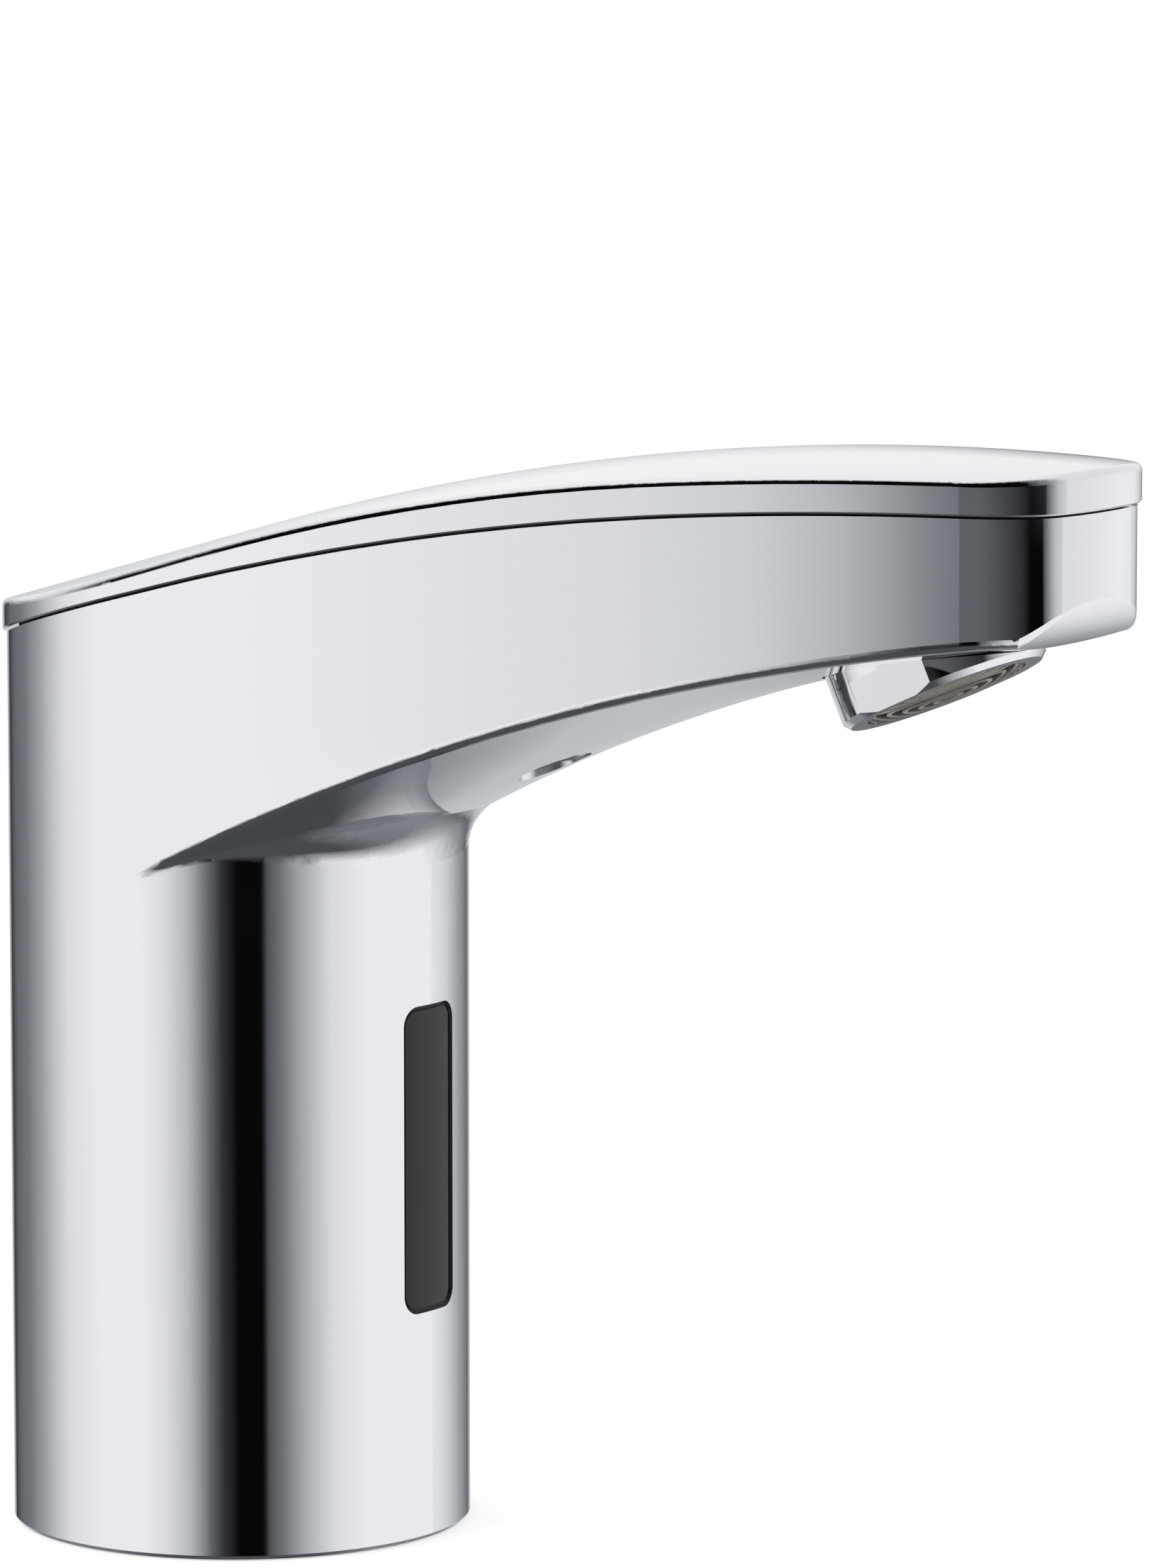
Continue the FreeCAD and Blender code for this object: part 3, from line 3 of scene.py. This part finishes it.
import bmesh
import bpy
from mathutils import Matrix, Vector


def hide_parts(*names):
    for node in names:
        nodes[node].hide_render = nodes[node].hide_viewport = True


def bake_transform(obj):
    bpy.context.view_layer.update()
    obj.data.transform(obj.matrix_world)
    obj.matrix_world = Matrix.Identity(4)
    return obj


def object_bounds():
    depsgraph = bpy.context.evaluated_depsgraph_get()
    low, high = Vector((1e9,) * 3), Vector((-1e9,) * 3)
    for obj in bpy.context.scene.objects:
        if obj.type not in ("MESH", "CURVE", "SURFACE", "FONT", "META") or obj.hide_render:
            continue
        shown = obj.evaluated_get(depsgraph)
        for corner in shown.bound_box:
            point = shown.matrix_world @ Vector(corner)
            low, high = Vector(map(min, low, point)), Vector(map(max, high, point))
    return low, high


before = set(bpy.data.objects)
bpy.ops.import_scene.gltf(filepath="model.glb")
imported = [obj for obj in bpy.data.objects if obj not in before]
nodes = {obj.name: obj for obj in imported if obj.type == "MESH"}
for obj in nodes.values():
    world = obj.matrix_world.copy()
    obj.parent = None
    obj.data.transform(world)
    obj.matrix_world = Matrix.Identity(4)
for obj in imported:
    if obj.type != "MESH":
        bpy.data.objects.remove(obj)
cad_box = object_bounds()

# Sensor tap for a basin, in metres: +Z up, the spout along +X, the foot on z = 0.
MM = 0.001
OUTLET = (95.4 * MM, 0.0, 103.2 * MM)       # centre of the outlet's rim
OUTLET_TILT = math.radians(24.2)            # of its axis, forward of straight down
RIM_DEPTH = 1.3 * MM                        # of the jet's rings behind the rim
SLOT_DEPTH = 1.2 * MM
WELD = 0.001 * MM

# ---------------------------------------------------------------- sizes of what the finishes show
HAZE_PATCH = 14 * MM        # across one patch of the chrome's haze
DRIFT_PATCH = 9 * MM        # across one patch of a moulding's colour
WIRE_TURN = 0.4 * MM
WIRE_PATCH = 3 * MM
BRAID_PITCH = 1.4 * MM
MESH_PITCH = 0.8 * MM
TRACK_LENGTH = 5.08 * MM
TRACK_PITCH = 1.27 * MM
TRACK_WIDTH = 0.26 * MM
PAD_PITCH = 2.54 * MM
PAD_RADIUS = 0.508 * MM
PAD_EDGE = 0.0508 * MM      # either side of it, where a pad goes over into the mask
WRAP_FOLD = 5 * MM
JET_PATCH = 2 * MM
JET_GRAIN = 0.25 * MM
NOISE = (0.3, 0.7)          # where Blender's noise lies for the most part

# ---------------------------------------------------------------- camera, fitted to the photograph
CAMERA_PLACE = (0.52481, -0.75562, 0.19958)
CAMERA_TILT = 83.011        # degrees from looking straight down
CAMERA_TURN = 32.229        # degrees
CAMERA_LENS = 181.14
CAMERA_SENSOR = 36.0
CAMERA_SIDE = 34.8          # degrees from -Y towards +X, where the camera stands

# ---------------------------------------------------------------- studio
TENT_RADIUS = 300 * MM
TENT_HEIGHT = 80 * MM       # of its centre above the floor
FLOOR_RADIUS = 900 * MM
FLOOR_DROP = 0.1 * MM
FLOOR_COLOUR = "#e8e8e8"
FLOOR_LIFT = 0.45           # added for the camera alone, so that the floor is white
ROUND = 96                  # corners of the floor, and of the tent's rings
SKY_LEVEL = 0.75
KEY_PLACE = (-0.25, -0.7, 0.75)
KEY_WATTS = 2.2
FILL_PLACE = (0.7, 0.3, 0.6)
FILL_WATTS = 1.1
LAMP_SIZE = 0.5


# ================================================================ helpers
def linear(code, alpha=1.0):
    """An sRGB colour such as "#c0c4c8" as linear red, green, blue and alpha."""
    parts = [int(code[i:i + 2], 16) / 255 for i in (1, 3, 5)]
    return tuple(c / 12.92 if c <= 0.04045 else ((c + 0.055) / 1.055) ** 2.4 for c in parts) + (alpha,)


def add(tree, kind, inputs=None, stops=None, **settings):
    """Adds a node. An input takes a constant, the output socket that feeds it, or a node, for the
    first of its outputs in use. Stops are those of a colour ramp, as (place, colour) pairs."""
    node = tree.nodes.new(kind)
    for name, value in settings.items():
        setattr(node, name, value)
    sockets = {socket.identifier: socket for socket in node.inputs}
    for name, value in (inputs or {}).items():
        socket = sockets[name] if name in sockets else node.inputs[name]
        if isinstance(value, bpy.types.Node):
            value = next(output for output in value.outputs if output.enabled)
        if isinstance(value, bpy.types.NodeSocket):
            tree.links.new(value, socket)
        else:
            socket.default_value = value
    if stops:
        ramp = node.color_ramp.elements
        ramp.remove(ramp[0])
        ramp[0].position, ramp[0].color = stops[0][0], linear(stops[0][1])
        for place, colour in stops[1:]:
            ramp.new(place).color = linear(colour)
    return node


def blank(name):
    """An empty material, its node tree, and the socket that gives the place on the piece."""
    material = bpy.data.materials.new(name)
    material.use_nodes = True
    tree = material.node_tree
    tree.nodes.clear()
    return material, tree, add(tree, "ShaderNodeTexCoord").outputs["Object"]


def heights(node):
    """The lowest and the highest z of a CAD node."""
    return [pick(corner[2] for corner in node.bound_box) for pick in (min, max)]


def new_piece(name, shape, material):
    """An object with the mesh of a bmesh, in one material."""
    mesh = bpy.data.meshes.new(name)
    shape.to_mesh(mesh)
    shape.free()
    mesh.materials.append(material)
    piece = bpy.data.objects.new(name, mesh)
    bpy.context.scene.collection.objects.link(piece)
    return piece


# ================================================================ materials
def wave_scale(pitch):
    """The scale at which Blender's wave repeats at one pitch: it repeats every pi / 10 at scale 1."""
    return math.pi / (10 * pitch)


def crossed_strands(tree, pitch, ways):
    """Strands that run two ways, from 0 between them to 1 on top. Each way has the place that it
    reads and its direction."""
    strands = []
    for place, direction in ways:
        wave = add(tree, "ShaderNodeTexWave", {"Vector": place, "Scale": wave_scale(pitch)},
                   bands_direction=direction)
        strands.append(wave.outputs["Fac"])
    return add(tree, "ShaderNodeMath", {0: strands[0], 1: strands[1]}, operation="MAXIMUM")


def finished(material, tree, looks, gloss, relief=None):
    """Gives a material its shader. The gloss is a pattern, the span of it that counts, and the
    roughness at either end. The relief is a pattern, its height and how strongly it shows."""
    pattern, span, rough = gloss
    looks["Roughness"] = add(tree, "ShaderNodeMapRange",
                             {"Value": pattern, "From Min": span[0], "From Max": span[1],
                              "To Min": rough[0], "To Max": rough[1]})
    if relief:
        pattern, height, strength = relief
        looks["Normal"] = add(tree, "ShaderNodeBump",
                              {"Height": pattern, "Distance": height, "Strength": strength})
    shader = add(tree, "ShaderNodeBsdfPrincipled", looks)
    add(tree, "ShaderNodeOutputMaterial", {"Surface": shader})
    return material


def polished_chrome():
    """Chrome on cast brass, buffed and plated: a mirror, with a faint haze that varies."""
    material, tree, place = blank("polished_chrome")
    haze = add(tree, "ShaderNodeTexNoise", {"Vector": place, "Scale": 1 / HAZE_PATCH, "Detail": 3.0})
    return finished(material, tree, {"Base Color": linear("#ececee"), "Metallic": 1.0},
                    gloss=(haze, NOISE, (0.035, 0.06)))


def turned_metal(name, colour, rough, patch, marks=0.35 * MM):
    """A bare or plated metal: sheen that varies in patches, and the rings that a lathe tool or
    a die leaves. Real rings are 0.1 mm apart, too fine to show, so they are drawn coarser."""
    material, tree, place = blank(name)
    sheen = add(tree, "ShaderNodeTexNoise", {"Vector": place, "Scale": 1 / patch, "Detail": 5.0})
    rings = add(tree, "ShaderNodeTexWave", {"Vector": place, "Scale": wave_scale(marks)},
                bands_direction="Z")
    both = add(tree, "ShaderNodeMath", {0: sheen, 1: rings.outputs["Fac"]}, operation="ADD")
    return finished(material, tree, {"Base Color": linear(colour), "Metallic": 1.0},
                    gloss=(sheen, NOISE, rough), relief=(both, 0.02 * MM, 0.2))


def moulded(name, dark, pale, rough, grain, strength, ior=1.5):
    """A moulded plastic or rubber: fine texture from the mould, and a slight drift of colour."""
    material, tree, place = blank(name)
    drift = add(tree, "ShaderNodeTexNoise", {"Vector": place, "Scale": 1 / DRIFT_PATCH, "Detail": 2.0})
    tone = add(tree, "ShaderNodeValToRGB", {"Fac": drift}, stops=[(NOISE[0], dark), (NOISE[1], pale)])
    texture = add(tree, "ShaderNodeTexNoise", {"Vector": place, "Scale": 1 / grain, "Detail": 4.0})
    return finished(material, tree, {"Base Color": tone, "IOR": ior},
                    gloss=(drift, NOISE, (rough - 0.02, rough + 0.03)),
                    relief=(texture, 0.05 * MM, strength))


def wound_wire():
    """Enamelled copper wire in even turns, painted darker between them as shade. Real wire is 0.2 mm,
    drawn at twice that to show.
    """
    material, tree, place = blank("enamelled_copper_wire")
    wave = add(tree, "ShaderNodeTexWave", {"Vector": place, "Scale": wave_scale(WIRE_TURN)},
               bands_direction="Z")
    turns = wave.outputs["Fac"]
    sheen = add(tree, "ShaderNodeTexNoise", {"Vector": place, "Scale": 1 / WIRE_PATCH, "Detail": 3.0})
    # Painted shade: the copper goes dark in the grooves between the turns.
    copper = add(tree, "ShaderNodeValToRGB", {"Fac": turns},
                 stops=[(0.0, "#4a2410"), (0.6, "#a0522d"), (1.0, "#c4713f")])
    return finished(material, tree, {"Base Color": copper, "Metallic": 0.8},
                    gloss=(sheen, NOISE, (0.22, 0.36)), relief=(turns, 0.12 * MM, 0.8))


def braided_hose():
    """Grey hose with a polyester braid just under its skin, whose strands go both ways round. On
    the slant, Blender's wave sets them 1.6 mm apart."""
    material, tree, place = blank("braided_hose")
    mirrored = add(tree, "ShaderNodeVectorMath", {0: place, 1: (1.0, 1.0, -1.0)}, operation="MULTIPLY")
    braid = crossed_strands(tree, BRAID_PITCH, [(place, "DIAGONAL"), (mirrored, "DIAGONAL")])
    grey = add(tree, "ShaderNodeValToRGB", {"Fac": braid}, stops=[(0.5, "#6f7175"), (1.0, "#9b9da1")])
    return finished(material, tree, {"Base Color": grey},
                    gloss=(braid, (0.5, 1.0), (0.5, 0.38)), relief=(braid, 0.15 * MM, 0.5))


def woven_wire(name, across, along):
    """Stainless mesh of 0.3 mm wire at 0.8 mm, the coarsest such strainers have: bright wires that
    cross, and holes painted dark as the shade behind them."""
    material, tree, place = blank(name)
    wires = crossed_strands(tree, MESH_PITCH, [(place, across), (place, along)])
    # Painted shade: the holes between the wires are near black.
    steel = add(tree, "ShaderNodeValToRGB", {"Fac": wires}, stops=[(0.55, "#26272a"), (0.85, "#b4b6b8")])
    return finished(material, tree, {"Base Color": steel, "Metallic": 1.0},
                    gloss=(wires, (0.55, 0.85), (0.6, 0.28)), relief=(wires, 0.25 * MM, 0.7))


def circuit_board():
    """Green solder mask over narrow copper tracks, with tinned pads 1 mm across on a wider grid."""
    material, tree, place = blank("lacquered_circuit_board")
    split = add(tree, "ShaderNodeSeparateXYZ", {"Vector": place})
    face = add(tree, "ShaderNodeCombineXYZ", {"X": split.outputs["Y"], "Y": split.outputs["Z"]})
    brick = add(tree, "ShaderNodeTexBrick",
                {"Vector": face, "Scale": 1.0, "Brick Width": TRACK_LENGTH, "Row Height": TRACK_PITCH,
                 "Mortar Size": TRACK_WIDTH / 2, "Mortar Smooth": 0.2})
    tracks = brick.outputs["Fac"]
    cells = add(tree, "ShaderNodeTexVoronoi", {"Vector": face, "Scale": 1 / PAD_PITCH, "Randomness": 0.0})
    pads = add(tree, "ShaderNodeMapRange",
               {"Value": cells, "From Min": (PAD_RADIUS - PAD_EDGE) / PAD_PITCH,
                "From Max": (PAD_RADIUS + PAD_EDGE) / PAD_PITCH, "To Min": 1.0, "To Max": 0.0})
    mask = add(tree, "ShaderNodeValToRGB", {"Fac": tracks}, stops=[(0.0, "#17492e"), (1.0, "#2c7a4d")])
    tinned = add(tree, "ShaderNodeMix", {"Factor": pads, "A_Color": mask, "B_Color": linear("#c9ccd0")},
                 data_type="RGBA")
    raised = add(tree, "ShaderNodeMath", {0: tracks, 1: pads}, operation="MAXIMUM")
    return finished(material, tree, {"Base Color": tinned, "Metallic": pads},
                    gloss=(pads, (0.0, 1.0), (0.22, 0.35)), relief=(raised, 0.06 * MM, 0.6))


def printed_wrap():
    """Shrink wrap round the cells: a dark body with a pale shoulder band, and fine folds."""
    material, tree, place = blank("printed_shrink_wrap")
    foot, top = heights(nodes["battery"])
    split = add(tree, "ShaderNodeSeparateXYZ", {"Vector": place})
    share = add(tree, "ShaderNodeMapRange",
                {"Value": split.outputs["Z"], "From Min": foot, "From Max": top})
    bands = add(tree, "ShaderNodeValToRGB", {"Fac": share},
                stops=[(0.0, "#9aa0a6"), (0.05, "#3d434b"), (0.72, "#c7ccd1"), (0.75, "#5b636d"),
                       (0.95, "#3d434b")])
    bands.color_ramp.interpolation = "CONSTANT"
    folds = add(tree, "ShaderNodeTexNoise", {"Vector": place, "Scale": 1 / WRAP_FOLD, "Detail": 3.0})
    return finished(material, tree, {"Base Color": bands},
                    gloss=(folds, NOISE, (0.2, 0.34)), relief=(folds, 0.15 * MM, 0.25))


def ringed_acetal():
    """Grey-brown acetal of the jet: the rims of its rings are pale, partly rubbed wear and partly a
    painted highlight, and the slots between them are painted darker with depth, as painted shade."""
    material, tree, place = blank("grey_brown_acetal")
    inwards = (-math.sin(OUTLET_TILT), 0.0, math.cos(OUTLET_TILT))
    away = add(tree, "ShaderNodeVectorMath", {0: place, 1: OUTLET}, operation="SUBTRACT")
    depth = add(tree, "ShaderNodeVectorMath", {0: away, 1: inwards}, operation="DOT_PRODUCT")
    share = add(tree, "ShaderNodeMapRange",
                {"Value": depth, "From Min": RIM_DEPTH, "From Max": RIM_DEPTH + SLOT_DEPTH})
    # Painted highlight, partly wear, on the rims, and painted shade that deepens into the slots.
    tone = add(tree, "ShaderNodeValToRGB", {"Fac": share},
               stops=[(0.0, "#c2bcb3"), (0.15, "#7d746a"), (1.0, "#241f1b")])
    worn = add(tree, "ShaderNodeTexNoise", {"Vector": place, "Scale": 1 / JET_PATCH, "Detail": 3.0})
    grain = add(tree, "ShaderNodeTexNoise", {"Vector": place, "Scale": 1 / JET_GRAIN, "Detail": 4.0})
    return finished(material, tree, {"Base Color": tone},
                    gloss=(worn, NOISE, (0.3, 0.42)), relief=(grain, 0.03 * MM, 0.2))


FINISHES = {
    "chrome": polished_chrome(),
    # The window lets little light back, so its IOR is lower than acrylic's 1.49.
    "black_glass": moulded("tinted_acrylic", "#121214", "#161618", 0.12, 0.6 * MM, 0.02, 1.37),
    "black_rubber": moulded("black_nitrile_rubber", "#161617", "#1e1e20", 0.6, 0.3 * MM, 0.3),
    "clear_rubber": moulded("dark_silicone_rubber", "#343437", "#3f3f42", 0.5, 0.3 * MM, 0.2),
    "black_plastic": moulded("black_glass_filled_nylon", "#1e1e21", "#28282b", 0.45, 0.25 * MM, 0.4),
    "white_plastic": moulded("white_acetal", "#dddbd4", "#eae8e1", 0.38, 0.25 * MM, 0.2),
    "brown_plastic": ringed_acetal(),
    "green_board": circuit_board(),
    "chip_black": moulded("epoxy_moulding", "#18181a", "#232324", 0.55, 0.1 * MM, 0.5),
    "clear_lens": moulded("tinted_clear_epoxy", "#555a6a", "#666b7b", 0.08, 0.4 * MM, 0.02),
    "steel": turned_metal("stainless_steel", "#b8babb", (0.2, 0.34), 1.2 * MM),
    "zinc_steel": turned_metal("zinc_plated_steel", "#a9adb2", (0.28, 0.42), 2.5 * MM),
    "brass": turned_metal("machined_brass", "#c0a05a", (0.22, 0.38), 1.8 * MM, 0.5 * MM),
    "copper": wound_wire(),
    "magnet": moulded("sintered_ferrite", "#37373b", "#434347", 0.5, 0.15 * MM, 0.6),
    "hose": braided_hose(),
    "battery_wrap": printed_wrap(),
}
# Two nodes of the steel slot are woven, so they have a material of their own.
STRAINERS = {
    "aerator_strainer": woven_wire("woven_wire_disc", "X", "Y"),
    "inlet_strainer": woven_wire("woven_wire_cup", "Z", "X"),
}


def finish_nodes():
    """Every CAD node takes the finish of its own slot, and the strainers their own."""
    for name, node in nodes.items():
        for slot in node.material_slots:
            slot.material = STRAINERS.get(name, FINISHES[slot.material.name])


finish_nodes()


# ================================================================ the plunger's spring
def closing_spring():
    """The spring's own mesh again, welded and smooth shaded, in place of the CAD node, which is hidden.
    """
    low, high = (Vector((0, 0, height)) for height in heights(nodes["plunger_spring"]))
    coil = bmesh.new()
    coil.from_mesh(nodes["plunger_spring"].data)
    bmesh.ops.remove_doubles(coil, verts=coil.verts, dist=WELD)
    spring = new_piece("return_spring", coil, FINISHES["steel"])
    spring.data.shade_smooth()
    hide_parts("plunger_spring")
    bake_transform(spring)


closing_spring()


# ================================================================ studio
# The tap stands in a round tent of eleven cool grey cloths, from white to nearly black.
WHITE = "#fcfcfe"
PALE = "#e9ebed"
CLOTH = "#dadee0"
SILVER = "#c2c6c9"
STEEL = "#a6aaae"
PEWTER = "#8f9398"
GREY = "#7b7f84"
IRON = "#66696e"
SLATE = "#4d5053"
COAL = "#34363a"
BLACK = "#080808"
# Each band's cloths go round the tent and run into each other: degrees to the right of the
# camera, seen from the tap. Away from the camera, the low band and the spout's band are the same.
REAR_LEFT = [
    (-180, CLOTH), (-163, SILVER), (-156, COAL), (-145, IRON), (-128, GREY), (-113, STEEL),
    (-92, PALE), (-72, WHITE),
]
REAR_RIGHT = [(121, CLOTH), (137, STEEL), (155, IRON), (163, SILVER), (180, CLOTH)]
LOW_BAND = REAR_LEFT + [
    (-48, WHITE), (-36, PALE), (-25, SILVER), (-15, IRON), (-9, COAL), (-2, BLACK), (11, BLACK),
    (12, SLATE), (20, GREY), (33, SILVER), (45, PALE), (63, WHITE), (104, WHITE),
] + REAR_RIGHT
SPOUT_BAND = REAR_LEFT + [
    (-58, WHITE), (-48, PALE), (-33, CLOTH), (-23, SILVER), (-17, STEEL), (-11, GREY), (-9, IRON),
    (9, IRON), (30, SLATE), (43, COAL), (51, BLACK), (62, BLACK), (63, SLATE), (74, SILVER),
    (85, PALE), (105, WHITE),
] + REAR_RIGHT
HIGH_BAND = [
    (-180, WHITE), (-122, PALE), (-104, CLOTH), (-88, PEWTER), (-74, BLACK), (48, BLACK),
    (66, PEWTER), (84, PALE), (180, WHITE),
]
FLOOR_BAND = [
    (-180, PEWTER), (-140, GREY), (-105, SLATE), (60, SLATE), (95, GREY), (180, PEWTER),
]
TENT_TOP = WHITE
TENT_FOOT = SLATE
# Where one band goes over into the next, as shares of the tent's radius above its centre.
BAND_EDGES = [(-0.97, -0.9), (-0.72, -0.47), (-0.1, -0.06), (0.08, 0.32), (0.7, 0.88)]


def tent_cloth():
    """The tent shows in mirrors alone: the camera, the lamps and matt pieces see past it."""
    material, tree, place = blank("tent_cloth")
    turned = add(tree, "ShaderNodeVectorRotate", {"Vector": place, "Angle": math.radians(-CAMERA_SIDE)},
                 rotation_type="Z_AXIS")
    split = add(tree, "ShaderNodeSeparateXYZ", {"Vector": turned})
    towards = add(tree, "ShaderNodeMath", {0: split.outputs["Y"], 1: -1.0}, operation="MULTIPLY")
    angle = add(tree, "ShaderNodeMath", {0: split.outputs["X"], 1: towards}, operation="ARCTAN2")
    share = add(tree, "ShaderNodeMapRange", {"Value": angle, "From Min": -math.pi, "From Max": math.pi})
    tones = []
    for band in (FLOOR_BAND, LOW_BAND, SPOUT_BAND, HIGH_BAND):
        tones.append(add(tree, "ShaderNodeValToRGB", {"Fac": share},
                         stops=[(turn / 360 + 0.5, tone) for turn, tone in band]))
    shown = linear(TENT_FOOT)
    for (low, high), tone in zip(BAND_EDGES, tones + [linear(TENT_TOP)]):
        part = add(tree, "ShaderNodeMapRange",
                   {"Value": split.outputs["Z"], "From Min": low * TENT_RADIUS,
                    "From Max": high * TENT_RADIUS})
        shown = add(tree, "ShaderNodeMix", {"Factor": part, "A_Color": shown, "B_Color": tone},
                    data_type="RGBA")
    glow = add(tree, "ShaderNodeEmission", {"Color": shown, "Strength": 1.0})
    clear = add(tree, "ShaderNodeBsdfTransparent")
    rays = add(tree, "ShaderNodeLightPath").outputs
    cloth = add(tree, "ShaderNodeMixShader", {0: rays["Is Glossy Ray"], 1: clear, 2: glow})
    add(tree, "ShaderNodeOutputMaterial", {"Surface": cloth})
    material.cycles.emission_sampling = "NONE"
    return material


def make_tent():
    shell = bmesh.new()
    bmesh.ops.create_uvsphere(shell, u_segments=ROUND, v_segments=ROUND // 2, radius=TENT_RADIUS)
    tent = new_piece("tent", shell, tent_cloth())
    tent.location = (0, 0, TENT_HEIGHT)
    tent.visible_shadow = False
    tent.visible_diffuse = False
    tent.visible_transmission = False
    return tent


def floor_paint():
    """White to the camera, with the tap's soft shadow kept, and no part of what mirrors show."""
    material, tree, _ = blank("floor_paint")
    rays = add(tree, "ShaderNodeLightPath").outputs
    matt = add(tree, "ShaderNodeBsdfDiffuse", {"Color": linear(FLOOR_COLOUR)})
    lift = add(tree, "ShaderNodeMath", {0: rays["Is Camera Ray"], 1: FLOOR_LIFT}, operation="MULTIPLY")
    glow = add(tree, "ShaderNodeEmission", {"Strength": lift})
    lit = add(tree, "ShaderNodeAddShader", {0: matt, 1: glow})
    clear = add(tree, "ShaderNodeBsdfTransparent")
    paint = add(tree, "ShaderNodeMixShader", {0: rays["Is Glossy Ray"], 1: lit, 2: clear})
    add(tree, "ShaderNodeOutputMaterial", {"Surface": paint})
    return material


def make_floor():
    disc = bmesh.new()
    bmesh.ops.create_circle(disc, cap_ends=True, segments=ROUND, radius=FLOOR_RADIUS)
    bmesh.ops.translate(disc, verts=disc.verts, vec=(0, 0, -FLOOR_DROP))
    return new_piece("floor", disc, floor_paint())


def make_sky():
    """White to the camera, to mirrors and through glass, and a plain level of light on the rest."""
    world = bpy.data.worlds.new("studio")
    world.use_nodes = True
    tree = world.node_tree
    tree.nodes.clear()
    rays = add(tree, "ShaderNodeLightPath").outputs
    seen = rays["Is Camera Ray"]
    for kind in ("Is Glossy Ray", "Is Transmission Ray"):
        seen = add(tree, "ShaderNodeMath", {0: seen, 1: rays[kind]}, operation="MAXIMUM")
    level = add(tree, "ShaderNodeMapRange", {"Value": seen, "To Min": SKY_LEVEL, "To Max": 1.0})
    sky = add(tree, "ShaderNodeBackground", {"Color": linear("#ffffff"), "Strength": level})
    add(tree, "ShaderNodeOutputWorld", {"Surface": sky})
    bpy.context.scene.world = world


def make_lamp(name, place, watts):
    """A soft square lamp that looks at the middle of the tap, and isn't seen in mirrors."""
    data = bpy.data.lights.new(name, "AREA")
    data.energy = watts
    data.size = LAMP_SIZE
    lamp = bpy.data.objects.new(name, data)
    lamp.location = place
    middle = (cad_box[0] + cad_box[1]) / 2
    lamp.rotation_euler = (middle - Vector(place)).to_track_quat("-Z", "Y").to_euler()
    lamp.visible_glossy = False
    bpy.context.scene.collection.objects.link(lamp)


def make_camera():
    data = bpy.data.cameras.new("camera")
    data.lens = CAMERA_LENS
    data.sensor_width = CAMERA_SENSOR
    data.sensor_fit = "AUTO"
    data.clip_start = 10 * MM
    camera = bpy.data.objects.new("camera", data)
    camera.location = CAMERA_PLACE
    camera.rotation_euler = (math.radians(CAMERA_TILT), 0, math.radians(CAMERA_TURN))
    bpy.context.scene.collection.objects.link(camera)
    bpy.context.scene.camera = camera


make_tent()
make_floor()
make_sky()
make_lamp("key_lamp", KEY_PLACE, KEY_WATTS)
make_lamp("fill_lamp", FILL_PLACE, FILL_WATTS)
make_camera()
bpy.context.scene.view_settings.view_transform = "Standard"
